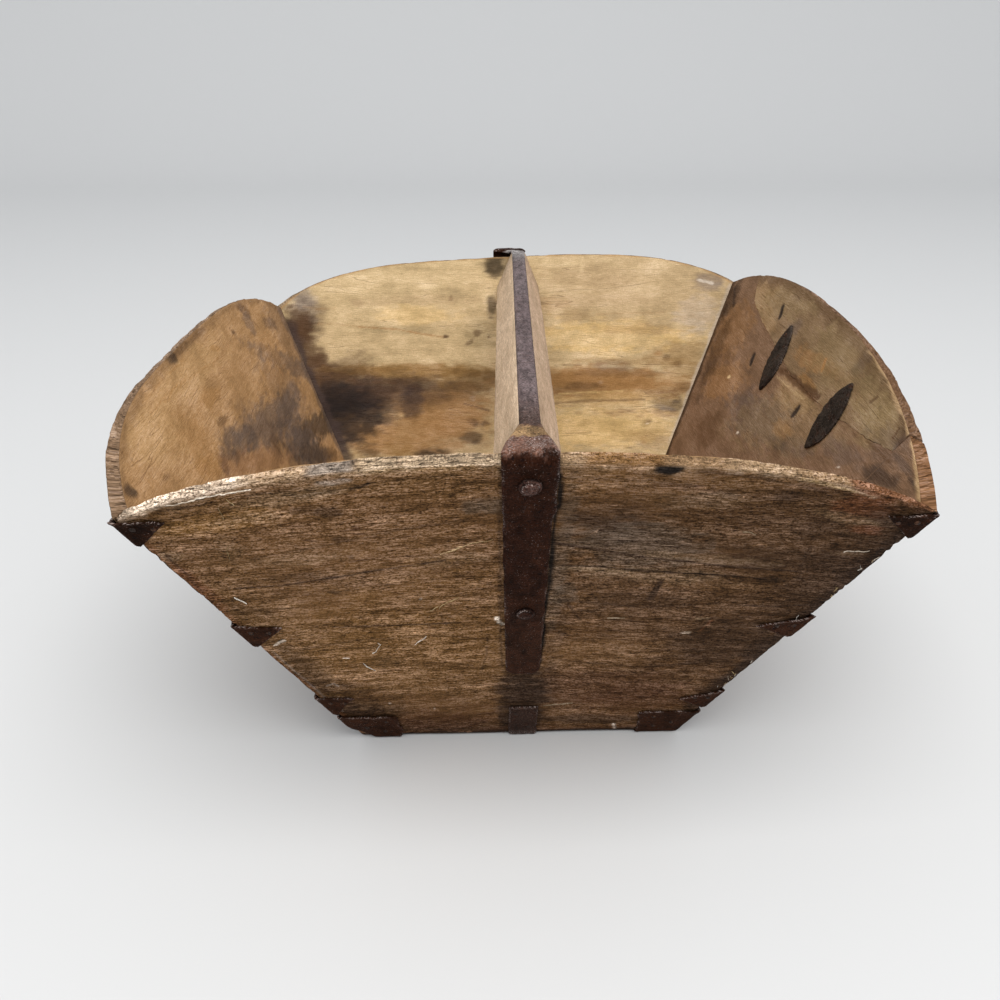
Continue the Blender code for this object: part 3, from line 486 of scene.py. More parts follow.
BACK_STAINS = (
    (169, 225, 14, 11, 0, ASHEN, 0.55), (74, 218, 31, 7.7, 1, MAIZE, 0.5),
    (81, 170, 55, 7.4, -1, AMBER, 0.75), (141, 159, 28, 15, 19, UMBER, 0.85),
    (99, 150, 36, 13, 6, UMBER, 0.8), (144, 142, 14, 15, 41, INK, 0.85),
    (116, 137, 14, 7.4, -9, INK, 0.85), (133, 121, 11, 9.5, 1, INK, 0.8),
    (77, 152, 6.2, 11, 1, INK, 0.75), (78, 135, 7.4, 8.9, -19, PURPLE, 0.8),
    (86, 105, 43, 10, 1, AMBER, 0.8), (110, 117, 16, 9.6, 1, HONEY, 0.7),
    (45, 135, 29, 23, 1, HONEY, 0.75), (39, 111, 24, 9.6, 1, FAWN, 0.6),
    (28, 127, 5, 3.1, 21, PURPLE, 0.85), (17, 126, 3.6, 2.9, 1, PURPLE, 0.7),
    (63, 102, 13, 4.1, 1, INK, 0.85), (116, 103, 7.4, 4.8, 1, UMBER, 0.65),
    (28, 147, 2.4, 2, 1, CREAM, 0.75), (25, 110, 3.6, 2.4, 1, PURPLE, 0.5),
    # Painted shadow under the back strap's turned-over head and the bar's end: the dark patch 8 mm along
    # and 261 mm up. The patch 10 mm along and 226 mm up darkens the board beside the lower end of the bar.
    (10, 226, 3.8, 8.5, 0, DARK, 0.75), (8, 261, 7.2, 11, -9, DARK, 0.75),
    (13, 166, 5, 5, 1, UMBER, 0.65), (20, 201, 13, 13, 1, OLIVE, 0.5),
    (23, 203, 2.6, 2.6, -39, UMBER, 0.6), (29, 195, 4.2, 1.7, -39, UMBER, 0.5),
    (50, 200, 2.3, 1.5, 1, UMBER, 0.9), (45, 232, 2.4, 2, -39, RUSSET, 0.6),
    (125, 229, 6.5, 2.8, 10, FAWN, 0.7), (174, 207, 10, 14, 61, PURPLE, 0.9),
    (163, 178, 7.3, 12, 61, UMBER, 0.85), (41, 170, 3.1, 2.4, 1, UMBER, 0.7),
    (29, 170, 7.2, 1.9, 1, UMBER, 0.4), (111, 173, 20, 1.9, 4, HONEY, 0.5),
    (157, 224, 2.6, 0.8, 0, HONEY, 0.5), (61, 248, 0.7, 2.4, 0, FAWN, 0.5),
    (13, 199, 1.2, 1, 1, UMBER, 0.7), (100, 123, 14, 6, -9, AMBER, 0.5),
    (15, 187, 12, 4.8, 1, WHEAT, 0.5), (80, 164, 7.2, 2.6, 1, AMBER, 0.6),
    (-42, 227, 17, 5.9, 0, HONEY, 0.5), (-59, 217, 19, 4.8, 1, AMBER, 0.35),
    (-90, 199, 60, 13, 1, MAIZE, 0.8), (-166, 218, 18, 13, 0, ASHEN, 0.65),
    (-175, 245, 12, 7.4, 5, ASH, 0.88), (-78, 250, 36, 9.5, 0, FAWN, 0.35),
    (-148, 183, 23, 9.6, -9, AMBER, 0.5), (-132, 184, 3.4, 1.9, 1, HONEY, 0.7),
    (-139, 180, 3.1, 2.4, 1, UMBER, 0.5), (-148, 175, 3.4, 2.4, 1, UMBER, 0.5),
    (-77, 161, 52, 13, 1, BURNT, 0.85), (-69, 163, 12, 5.5, 1, UMBER, 0.5),
    (-92, 173, 17, 5.4, 1, ASH, 0.35), (-139, 145, 15, 9.6, 1, PURPLE, 0.9),
    (-133, 135, 9.7, 4.8, 1, ASH, 0.5), (-71, 118, 43, 12, 1, MAIZE, 0.6),
    (-131, 111, 15, 9.6, 1, FAWN, 0.6), (-69, 125, 5.1, 2.9, -19, UMBER, 0.65),
    (-52, 127, 7.5, 2.2, 1, UMBER, 0.4), (-121, 125, 4.4, 3.1, -9, UMBER, 0.9),
    (-122, 124, 0.8, 0.7, 1, WHITE, 0.95), (-82, 160, 1.8, 1.4, 1, CREAM, 0.7),
    (-155, 155, 6.7, 4.8, 1, UMBER, 0.6), (-105, 104, 6.1, 1.4, 1, UMBER, 0.55),
    (-119, 110, 2.7, 3.1, 1, HONEY, 0.7), (-76, 109, 7.2, 2.9, 1, HONEY, 0.4),
    (-113, 133, 40, 3.6, 1, BURNT, 0.5), (-93, 242, 19, 9.5, 0, FAWN, 0.3),
    (155, 168, 59, 9.3, 64, UMBER, 0.85), (136, 133, 22, 14, 51, INK, 0.85),
    (113, 149, 32, 8.5, -4, UMBER, 0.85), (77, 159, 64, 6.8, 5, UMBER, 0.6),
    (77, 140, 6.8, 11, 1, INK, 0.7), (94, 119, 68, 15, 1, HONEY, 0.7), (51, 142, 43, 11, 1, HONEY, 0.7),
    (30, 161, 24, 6.8, 1, AMBER, 0.6), (72, 171, 81, 5.1, 1, AMBER, 0.6),
    (173, 211, 8.4, 19, 1, UMBER, 0.7), (-82, 163, 52, 7.7, 1, BURNT, 0.6),
    (-73, 145, 43, 6.8, 1, BURNT, 0.45), (-116, 177, 52, 3.4, 1, AMBER, 0.4),
    (-64, 123, 34, 6, 1, AMBER, 0.35), (-117, 238, 94, 29, 0, FAWN, 0.45),
    (-86, 157, 90, 12, 1, BURNT, 0.55), (-81, 119, 77, 15, 1, MAIZE, 0.6),
    (64, 150, 55, 14, 1, UMBER, 0.35), (-47, 152, 34, 5.1, 1, UMBER, 0.35),
    (-99, 168, 34, 3.4, 1, UMBER, 0.3), (132, 137, 31, 23, 11, INK, 0.55),
    (144, 166, 29, 14, -24, UMBER, 0.5), (96, 153, 44, 14, 1, PURPLE, 0.4),
    (90, 123, 51, 17, 1, BURNT, 0.35), (164, 211, 11, 22, 23, UMBER, 0.45),
    (43, 133, 29, 17, 1, BURNT, 0.4), (21, 163, 22, 6.8, 1, UMBER, 0.35),
    # The black patch 3 mm along and 262 mm up is painted shadow under the back strap's turned-over head.
    (64, 146, 19, 4.3, -4, UMBER, 0.45), (3, 262, 12, 10, 0, BLACK, 0.5),
    (30, 114, 8.5, 4.3, 1, INK, 0.6), (-99, 144, 60, 6.8, 1, MAIZE, 0.3),
    (-159, 168, 16, 6.8, 1, AMBER, 0.5), (-82, 196, 60, 6.8, 1, WHEAT, 0.4),
    (134, 132, 25, 22, 11, INK, 0.75), (144, 149, 22, 15, 1, INK, 0.6), (113, 138, 22, 10, 1, INK, 0.55),
    (79, 145, 10, 12, 1, PURPLE, 0.6), (150, 113, 17, 12, 1, INK, 0.6), (56, 122, 26, 6.8, 1, BURNT, 0.4),
    (90, 107, 12, 6.8, 1, AMBER, 0.5), (169, 232, 8.4, 10, 23, ASH, 0.5),
    (-82, 230, 51, 5.1, 0, FAWN, 0.4), (71, 231, 51, 4.2, 0, FAWN, 0.35),
    (88, 206, 34, 3.4, 1, OLIVE, 0.35), (-116, 204, 34, 4.3, 1, WARM, 0.35),
    (-116, 113, 22, 5.1, 1, AMBER, 0.35), (-69, 157, 14, 3.4, 1, UMBER, 0.5),
)
BACK_LINES = (
    (1.1, HONEY, 0.8, 0.2, 124.6, 208.9, 91.3, 206.5, 74.7, 203.2, 52.7, 199.5),
    (0.6, HONEY, 0.4, 0, 169.3, 226.1, 157.5, 224.1, 142.1, 224.7),
    (0.7, HONEY, 0.4, 0, 157.7, 211.8, 131.7, 210.4, 124.6, 208.9),
    (0.5, FAWN, 0.4, 0, 109.8, 236.2, 62.3, 238.2), (0.6, FAWN, 0.35, 0, 116.7, 185.4, 75, 186.1),
    (1.9, UMBER, 0.6, 0, 111.2, 162.1, 92.1, 160.7), (1.4, PURPLE, 0.5, 0, 35, 142.8, 13.6, 136.6),
    (2, CREAM, 0.9, 0, -167.4, 245.9, -178.3, 243.3), (2.4, WHEAT, 0.6, 0, -67.9, 265.6, -66.4, 255),
    (1.8, UMBER, 0.5, 0.2, -42.4, 141.9, -65.3, 143.8, -119.6, 144.4),
    (0.7, UMBER, 0.4, 0.1, -84.5, 133.7, -125.6, 133.8), (1, UMBER, 0.4, 0, -43.9, 174.2, -68, 175.2),
    (0.5, FAWN, 0.4, 0, -102.3, 236.9, -150.4, 232.9), (0.6, HONEY, 0.3, 0, -78, 218, -138.3, 218.7),
    (1, MAIZE, 0.5, 0, -46.1, 150.3, -101.6, 152.1), (1, MAIZE, 0.5, 0, -45.9, 138.3, -84.5, 137.3),
)
LEFT_STAINS = (
    (58, 268, 7.9, 4.4, 32, INK, 0.9), (35, 266, 14, 2.9, 7, UMBER, 0.6),
    (-1, 264, 18, 2.7, 5, UMBER, 0.5), (186, 239, 5.3, 2.7, 28, INK, 0.8),
    (-105, 249, 11, 5.1, 33, UMBER, 0.6), (-146, 225, 14, 5.6, 18, PURPLE, 0.46),
    (-60, 245, 3.2, 1.5, 18, UMBER, 0.9), (41, 252, 66, 11, 4, WARM, 0.5),
    (133, 249, 31, 12, 1, WARM, 0.4), (43, 232, 23, 5.6, 7, BURNT, 0.45),
    (45, 216, 11, 2.6, 12, UMBER, 0.6), (-12, 249, 7.2, 1.9, 19, BURNT, 0.6),
    (94, 227, 23, 14, 25, BURNT, 0.35), (-39, 181, 72, 14, 11, SMOKE, 0.7),
    (33, 197, 27, 8.9, 17, SMOKE, 0.7), (-59, 153, 33, 19, 25, PURPLE, 0.45),
    (-130, 135, 9.3, 96, -75, INK, 0.75), (77, 199, 5.5, 6.6, 27, PURPLE, 0.85),
    (26, 177, 69, 8.3, 22, COPPER, 0.6), (-43, 141, 24, 7.8, 26, PURPLE, 0.45),
    (-132, 193, 9.4, 66, -58, SMOKE, 0.6), (-101, 240, 8.7, 9.6, 62, SMOKE, 0.5),
    (-94, 175, 7.7, 44, 90, SMOKE, 0.55), (147, 227, 5.6, 1.4, 9, UMBER, 0.5),
    (-108, 208, 22, 12, 20, BURNT, 0.3), (97, 208, 23, 6.6, 18, BURNT, 0.5),
    (-88, 198, 25, 8, 21, BURNT, 0.3), (-19, 171, 7.4, 5.7, 18, UMBER, 0.4),
    (-101, 119, 32, 8.5, 26, UMBER, 0.6), (-10, 187, 32, 15, 50, PURPLE, 0.3),
    (-71, 144, 37, 22, 41, SMOKE, 0.65), (-80, 130, 37, 9.3, 26, INK, 0.5),
    (59, 198, 12, 5.4, 26, PURPLE, 0.5), (-94, 183, 42, 21, 48, SMOKE, 0.3),
    (128, 244, 33, 16, 25, WARM, 0.3), (-173, 210, 29, 34, 27, SMOKE, 0.3),
)
LEFT_LINES = (
    (1.1, BURNT, 0.6, 0, 122.3, 255.7, 90.6, 254.8, 55.2, 252.9),
    (1, BURNT, 0.4, 0, 122.2, 262.8, 91.3, 262.8, 40.3, 260.1),
    (0.9, BURNT, 0.4, 0, 99.8, 253.5, 58.8, 251.2, -7.3, 242.9),
    (0.6, BURNT, 0.5, 0, 170.1, 254.5, 168, 242.7, 164.8, 231),
    (0.6, UMBER, 0.4, 0, 172.3, 257.5, 167.4, 247.3),
    (1.2, UMBER, 0.5, 0, -13.2, 174.9, -16.5, 165.8, -16.5, 158.8),
    (2.2, UMBER, 0.4, 0, -98.1, 250.2, -108.6, 240.1, -114.6, 232.6),
    (1.1, WARM, 0.6, 0, 55.9, 230.4, 48, 218.7),
)
RIGHT_STAINS = (
    (148, 214, 35, 22, -18, BURNT, 0.35), (-18, 219, 27, 12, -4, DULL, 0.5),
    (19, 187, 54, 16, -11, SMOKE, 0.6), (108, 182, 36, 14, -21, BURNT, 0.35),
    (-156, 225, 16, 5.2, -10, INK, 0.65), (-187, 237, 6.7, 4.6, -4, INK, 0.7),
    (34, 167, 2, 1, -24, WHITE, 0.8), (-112, 210, 0.9, 0.5, -26, WHITE, 0.8),
    (102, 188, 2.9, 1.3, -21, WHEAT, 0.8), (-27, 197, 15, 5.5, -6, BURNT, 0.4),
    (182, 234, 10, 18, -20, DARK, 0.7), (153, 189, 13, 34, -26, DARK, 0.5),
    (-104, 217, 23, 5.7, -10, SMOKE, 0.5), (-48, 194, 28, 5.3, -16, SMOKE, 0.5),
    (88, 146, 26, 14, -24, UMBER, 0.5), (-122, 232, 11, 3.7, -4, OLIVE, 0.4),
    (54, 188, 17, 5.3, -22, SMOKE, 0.4), (-165, 238, 12, 2.7, 2, SMOKE, 0.6),
    (-29, 205, 82, 21, -24, OLIVE, 0.25), (140, 217, 29, 26, -18, UMBER, 0.3),
    (-144, 239, 18, 12, -25, SMOKE, 0.35),
)
RIGHT_LINES = (
    (4.4, INK, 0.95, 0.5, 80.3, 214.2, 76.8, 208.4), (3.9, INK, 0.95, 0.5, -29.4, 215.2, -27.4, 208),
    (0.8, UMBER, 0.5, 0, 11.8, 192.2, -43.9, 196.1),
    (1, WHEAT, 0.3, 0, 26, 217.7, -12.8, 219.8, -30.4, 221.6),
    (4.3, UMBER, 0.9, 0.4, 25.8, 223.1, -16.3, 225.2, -44.9, 227.8),
    (1.3, UMBER, 0.7, 0.2, -123.5, 232.8, -139.3, 233.1, -154.6, 234.1),
    (0.8, INK, 0.6, 0, -171.4, 236.1, -194.9, 235.2), (4.6, INK, 0.6, 0, 188.8, 240.3, 172, 229.8),
)
ARCH_STAINS = (
    (126, 251, 30, 12, -5, DULL, 0.75), (89, 241, 18, 7.7, 2, DULL, 0.6),
    (-10, 243, 30, 6.3, -7, BURNT, 0.5), (-71, 268, 6.9, 6.7, -9, SMOKE, 0.8),
    (-68, 259, 7.6, 4.3, -20, SMOKE, 0.5), (-110, 257, 26, 17, -6, OLIVE, 0.5),
    (-156, 245, 7.5, 11, 3, SMOKE, 0.85), (-118, 233, 5.5, 5.5, -9, SMOKE, 0.6),
    (-56, 248, 34, 6.1, 0, DULL, 0.3), (-30, 276, 34, 3, 0, UMBER, 0.4),
    (33, 275, 44, 2.8, -4, UMBER, 0.4), (42, 250, 10, 6.2, -18, SMOKE, 0.5),
    (-19, 231, 15, 3.2, -3, BURNT, 0.6), (-94, 273, 10, 5, -20, OLIVE, 0.4),
    (-42, 269, 44, 26, -19, OLIVE, 0.4), (-129, 243, 21, 20, -24, OLIVE, 0.45),
    (-156, 245, 6.1, 5.1, -25, SMOKE, 0.55), (-158, 232, 8.8, 6.8, -27, SMOKE, 0.6),
    (-183, 235, 6.4, 3.2, -28, INK, 0.6), (72, 263, 51, 12, -16, OLIVE, 0.35),
    (-144, 239, 18, 12, -25, SMOKE, 0.35),
)
ARCH_LINES = (
    (4.6, INK, 0.95, 0.5, 78.8, 254.9, 74.3, 248.7), (1.8, UMBER, 0.9, 0.3, -143.1, 250.2, -143.5, 244.3),
    (2, UMBER, 0.7, 0.2, -106.5, 254.4, -103.5, 250.3),
    (2.7, BURNT, 0.9, 0.2, -26.5, 249.4, -30.4, 242.6),
    (4.3, UMBER, 0.9, 0.4, 26.1, 224.6, -16, 226.6, -44.6, 229.1),
    (0.8, UMBER, 0.6, 0, -96.3, 229.5, -110, 231.2), (1.4, SMOKE, 0.6, 0, -65.2, 271.4, -76.5, 270.9),
)


# Finishes

class Nodes:
    """A node tree being built: each call adds a node, fed by plain values or by other nodes."""

    def __init__(self, tree):
        self.tree = tree

    def add(self, kind, inputs=None, **settings):
        made = self.tree.nodes.new(kind)
        for key, value in settings.items():
            setattr(made, key, value)
        for key, value in (inputs or {}).items():
            self.feed(made.inputs[key], value)
        return made.outputs

    def feed(self, socket, value):
        if isinstance(value, bpy.types.NodeSocket):
            self.tree.links.new(value, socket)
        else:
            socket.default_value = value

    def maths(self, operation, first, second=0, third=0):
        return self.add("ShaderNodeMath", {0: first, 1: second, 2: third}, operation=operation)[0]

    def times(self, first, second):
        return self.maths("MULTIPLY", first, second)

    def times_plus(self, value, factor, added):
        return self.maths("MULTIPLY_ADD", value, factor, added)

    def centred(self, value):
        return self.maths("SUBTRACT", value, 0.5)

    def most(self, value, *others):
        for other in others:
            value = self.maths("MAXIMUM", value, other)
        return value

    def vector(self, operation, first, second):
        socket = "Scale" if operation == "SCALE" else 1
        return self.add("ShaderNodeVectorMath", {0: first, socket: second}, operation=operation)[0]

    def ramp(self, value, low, high, start=0, end=1):
        """Clamped change from start to end as value goes from low to high."""
        return self.add("ShaderNodeMapRange", {
            "Value": value, "From Min": low, "From Max": high, "To Min": start, "To Max": end,
        }, interpolation_type="SMOOTHSTEP")[0]

    def tint(self, share, colour, over):
        """Lay a colour over another by share."""
        colours = [(*c, 1) if isinstance(c, tuple) else c for c in (colour, over)]
        return self.add("ShaderNodeMix", {
            "Factor": share, 6: colours[0], 7: colours[1],
        }, data_type="RGBA")[2]

    def grain(self, place, scale, detail=3, roughness=0.6, distortion=0, shift=0):
        """Noise stretched along a piece: scale is features to the metre along, up and in."""
        stretched = self.add("ShaderNodeMapping", {
            "Vector": place, "Location": (shift, shift, shift), "Scale": scale,
        })[0]
        return self.add("ShaderNodeTexNoise", {
            "Vector": stretched, "Scale": 1, "Detail": detail, "Roughness": roughness,
            "Distortion": distortion,
        })["Fac"]


class Finish(Nodes):
    """The nodes of a new material."""

    def __init__(self, name):
        self.material = bpy.data.materials.new(name)
        self.material.use_nodes = True
        super().__init__(self.material.node_tree)

    def attribute(self, name, output="Vector"):
        return self.add("ShaderNodeAttribute", attribute_name=name)[output]

    def carried(self):
        """What a piece carries for its material: its place, its paint and two shares of wear; on iron the
        first share also carries painted highlights.
        """
        wear = self.add("ShaderNodeSeparateXYZ", {0: self.attribute("wear")})
        return self.attribute("place"), self.attribute("paint", "Color"), wear["X"], wear["Y"]

    def shade(self, colour, roughness, specular, relief=None, strength=1, fine=0.0006, **more):
        """Feed the shader; the relief is only the finest one, over the true shape."""
        inputs = {"Base Color": colour, "Roughness": roughness, "Specular IOR Level": specular}
        if relief is not None:
            inputs["Normal"] = self.add("ShaderNodeBump", {
                "Strength": strength, "Distance": fine, "Height": relief,
            })[0]
        shader = self.tree.nodes["Principled BSDF"]
        for label, value in {**inputs, **more}.items():
            self.feed(shader.inputs[label], value)
        return self.material


def wood_material(name, smooth, dry, patchy, crack, scratch, pitting, roughness):
    """Old softwood: fibres, bands, pores, cracks and scratches laid over its paint.
    Wear: x how dry and fibrous, y how dirty and speckled."""
    wood = Finish(name)
    place, paint, dryness, dirt = wood.carried()

    # The grain runs a little unevenly
    drift = wood.times(wood.centred(wood.grain(place, (9, 16, 3), 1)), 0.012)
    bent = wood.vector("ADD", place, wood.add("ShaderNodeCombineXYZ", {"Y": drift})[0])
    fibres = wood.grain(bent, (165, 1500, 5), 3, 0.66)
    bands = wood.grain(bent, (15, 150, 5), 3, 0.55, shift=3.1)
    mottles = wood.grain(bent, (70, 190, 5), 4, 0.66, shift=41.3)
    clouds = wood.grain(place, (30, 42, 5), 4, 0.62, shift=7.7)
    specks = wood.grain(place, (900, 1250, 5), 2, 0.6, shift=17.9)
    pores = wood.grain(bent, (240, 1400, 5), 1, 0.5, shift=11.3)
    hair = wood.grain(bent, (9, 120, 5), 2, 0.5, shift=23.5)
    slashes = wood.grain(place, (34, 27, 5), 1, 0.4, 1.6, 31)
    crumbs = wood.grain(place, (520, 640, 5), 1, 0.5, 0, 53)

    # Dry faces show their fibres, hand-rubbed ones hardly do
    amount = wood.times_plus(dryness, dry - smooth, smooth)

    def spread(value, by):
        return wood.times_plus(wood.times(wood.centred(value), amount), by, 1)

    gain = wood.times(wood.times(spread(fibres, 3.1), spread(bands, 1.5)),
                      wood.times(spread(specks, 3.3), spread(mottles, 1.7)))
    gain = wood.times(gain, wood.times_plus(wood.centred(clouds), patchy, 1))
    gain = wood.most(gain, 0.18)
    varied = wood.add("ShaderNodeHueSaturation", {
        "Color": wood.vector("SCALE", paint, gain), "Saturation": wood.ramp(gain, 0.8, 1.7, 1.07, 0.85),
    })["Color"]

    # Hair cracks follow the lines of a slow noise; pores are short dark dashes
    line = wood.maths("ABSOLUTE", wood.centred(hair))
    cracks = wood.times(wood.ramp(line, 0.002, 0.01, 1, 0), wood.ramp(clouds, 0.46, 0.6, 0, crack))
    dashes = wood.times(wood.ramp(pores, 0.58, 0.7, 0, 0.95), dryness)
    spots = wood.times(wood.ramp(specks, 0.58, 0.68), dirt)
    dark = wood.maths("MINIMUM", wood.most(cracks, dashes, spots), 1)
    shade = wood.vector("MULTIPLY", varied, (0.3, 0.25, 0.22))
    colour = wood.tint(dark, varied, shade)

    # Raised dry fibres, scratches and crumbs of wood are pale
    raised = wood.times(wood.ramp(fibres, 0.6, 0.76), wood.times(dryness, 0.45))
    stroke = wood.maths("ABSOLUTE", wood.centred(slashes))
    strokes = wood.times(wood.ramp(stroke, 0.001, 0.0035, 1, 0), wood.ramp(bands, 0.54, 0.64, 0, scratch))
    chaff = wood.times(wood.ramp(crumbs, 0.735, 0.76), dryness)
    light = wood.vector("MULTIPLY", varied, (1.75, 1.72, 1.7))
    light = wood.vector("ADD", light, (0.03, 0.022, 0.014))
    colour = wood.tint(wood.most(raised, strokes, chaff), colour, light)

    relief = wood.times_plus(dark, -0.9, wood.times_plus(bands, 0.5, fibres))
    relief = wood.times_plus(specks, pitting, relief)
    rough = wood.ramp(fibres, 0.3, 0.7, roughness + 0.1, roughness - 0.1)
    return wood.shade(colour, rough, 0.06, relief, 0.8)


def iron_material(name, rust, gloss, pits):
    """Old dark iron with a rust bloom, pits and rubbed bright edges. Wear: x rubbed bare, and also a
    painted highlight on the strap's fold, the rivets and the sheets' top edges; y rust.
    """
    iron = Finish(name)
    place, paint, rubbed, rusty = iron.carried()
    blooms = iron.grain(place, (150, 150, 150), 4, 0.65)
    crust = iron.grain(place, (900, 900, 900), 3, 0.7, shift=5)
    hollows = iron.grain(place, (420, 420, 420), 2, 0.6, shift=9)
    streaks = iron.grain(place, (1300, 190, 400), 2, 0.6, shift=13)
    flecks = iron.grain(place, (900, 1500, 1200), 3, 0.75, shift=27)

    gain = iron.most(iron.times_plus(iron.centred(crust), 3.6, 1), 0.2)
    bloom = iron.times(iron.ramp(blooms, 0.48, 0.7), iron.times_plus(rusty, 0.5, rust))
    colour = iron.tint(iron.maths("MINIMUM", bloom, 0.8), iron.vector("SCALE", paint, gain),
                       (0.05, 0.019, 0.01))
    pit = iron.ramp(hollows, 0.3, 0.42, 1, 0)
    colour = iron.tint(iron.times(pit, 0.75), colour, (0.005, 0.003, 0.003))
    # Pale where the iron is rubbed bare, and where its rubbed share carries a painted highlight.
    bright = iron.most(
        iron.times(rubbed, iron.ramp(flecks, 0.5, 0.64)), iron.times(iron.ramp(streaks, 0.7, 0.78), 0.11),
        iron.times(iron.ramp(flecks, 0.61, 0.69), iron.ramp(blooms, 0.46, 0.62, 0.06, 0.6)))
    colour = iron.tint(bright, colour, (0.56, 0.45, 0.41))

    rough = iron.times_plus(bloom, 0.25, iron.ramp(bright, 0, 1, gloss, gloss - 0.14))
    relief = iron.times_plus(pit, -0.8, iron.times_plus(blooms, 0.6, crust))
    return iron.shade(colour, rough, iron.times_plus(bright, 0.5, 0.02), relief, pits,
                      Metallic=iron.ramp(bright, 0.3, 1, 0, 0.5))


def nail_material(name):
    """Small black nail heads with rust in their pits and a rubbed crown."""
    iron = Finish(name)
    place = iron.add("ShaderNodeTexCoord")["Object"]
    crust = iron.grain(place, (1400, 1400, 1400), 3, 0.65)
    rust = iron.grain(place, (330, 330, 330), 2, 0.5, shift=4)
    colour = iron.tint(iron.ramp(crust, 0.35, 0.65), (0.01, 0.007, 0.006), (0.045, 0.03, 0.024))
    colour = iron.tint(iron.ramp(rust, 0.5, 0.65, 0, 0.6), colour, (0.11, 0.05, 0.028))
    rough = iron.ramp(crust, 0.3, 0.7, 0.75, 0.55)
    return iron.shade(colour, rough, 0.06, crust, 0.6, 0.0003)


# Boards

END_ROUND, END_ROUND_DEPTH = 0.0017, 0.0016
SPLINTER_REACH, SPLINTER_EDGE, SPLINTER_DEPTH = 0.0042, 0.0008, 0.0011
# Sections near a board's ends, as distances from the end
END_STATIONS = (0, 0.0006, 0.0014, 0.0026, 0.0042)
# Torn fibres: how many, the heights of their tufts in millimetres, and how far they keep in
FRINGE_COUNT, FRINGE_TUFTS, FIBRE_INSET = 30, (46, 63, 74, 88, 132, 161, 190), 0.0022


def crack_line(share):
    """Slant height of the crack at shares of the right end's length, and its two end shares."""
    places = []
    for along, slant in CRACK:
        if slant is None:
            guess = along / RIGHT.half_along(RIM_HEIGHT)
            for _ in range(12):
                slant = float(RIGHT.rim(guess))
                guess = along / RIGHT.half_along(slant / RIGHT.slope)
        places.append((along / RIGHT.half_along(slant / RIGHT.slope), slant))
    shares, slants = zip(*places)
    begun = blend(shares[0], shares[0] + 0.06, share)
    ended = blend(shares[-1], shares[-1] - 0.06, share)
    jagged = rugged(share * 34, 0.5, 5) * 0.0005 * (begun * ended)
    return np.interp(share, shares, slants) + jagged, shares[0], shares[-1]


def board_outline(foot, top, outer_round, inner_round, drop, rows):
    """Once round a board: slant, depth, face and the way into the wood as slant and depth."""
    highest = float(np.maximum(top - foot, 0).max())
    outer_rows, inner_rows = (max(4, round(highest / row)) for row in rows)
    turns = [math.pi / 8 * i for i in (1, 2, 3)]
    around = []
    for t in np.linspace(0, 1, outer_rows + 1):
        around.append((foot + (top - outer_round - foot) * t, 0, OUTER, 0, 1))
    for turn, face in zip(turns, (OUTER, EDGE, EDGE)):
        sine, cosine = math.sin(turn), math.cos(turn)
        around.append((top - outer_round * (1 - sine), outer_round * (1 - cosine), face, -sine, cosine))
    for t in np.linspace(0, 1, 5):
        flat = BOARD_THICKNESS - outer_round - inner_round
        around.append((top, outer_round + flat * t, EDGE, -1, 0))
    for turn, face in zip(turns, (EDGE, EDGE, INNER)):
        sine, cosine = math.sin(turn), math.cos(turn)
        around.append((top - inner_round * (1 - cosine),
                       BOARD_THICKNESS - inner_round * (1 - sine), face, -cosine, -sine))
    inner_foot = foot - drop
    for t in np.linspace(1, 0, inner_rows + 1):
        around.append((inner_foot + (top - inner_round - inner_foot) * t, BOARD_THICKNESS, INNER, 0, -1))
    for t in (0.75, 0.5, 0.25):
        around.append((foot - drop * t, BOARD_THICKNESS * t, LOWER, 1, 0))
    return zip(*around)


def faces_worn(along, slant, depth, face, tall, seed, rough_edge):
    """How deep the wood is gone: uneven faces and a splintered top edge."""
    broad = 0.00022 * (1 + rugged(along * 22, slant * 60, seed))
    narrow = 0.0001 * (1 + smooth_noise(along * 60, slant * 700, seed + 5))
    chips = np.maximum(0, rugged(along * 150, depth * 500, seed + 7)) * rough_edge
    chips += np.maximum(0, smooth_noise(along * 48, 0.2, seed + 9) - 0.35) * rough_edge * 1.2
    on_edge = (face == EDGE) * np.minimum(tall / 0.004, 1)
    return (broad + narrow) * (1 - 0.5 * on_edge) + chips * on_edge


def ends_worn(height, to_end):
    """How deep the outer face is gone at a board's ends: rubbed round, and splintered."""
    corner = np.clip(1 - to_end / END_ROUND, 0, 1)
    fine = smooth_noise(height * 150, 0.5, 83) + 0.6 * smooth_noise(height * 520, 0.5, 85)
    near = blend(SPLINTER_REACH, SPLINTER_EDGE, to_end)
    return (END_ROUND_DEPTH * (1 - np.sqrt(1 - corner ** 2)),
            SPLINTER_DEPTH * np.maximum(0, fine - 0.15) * near)


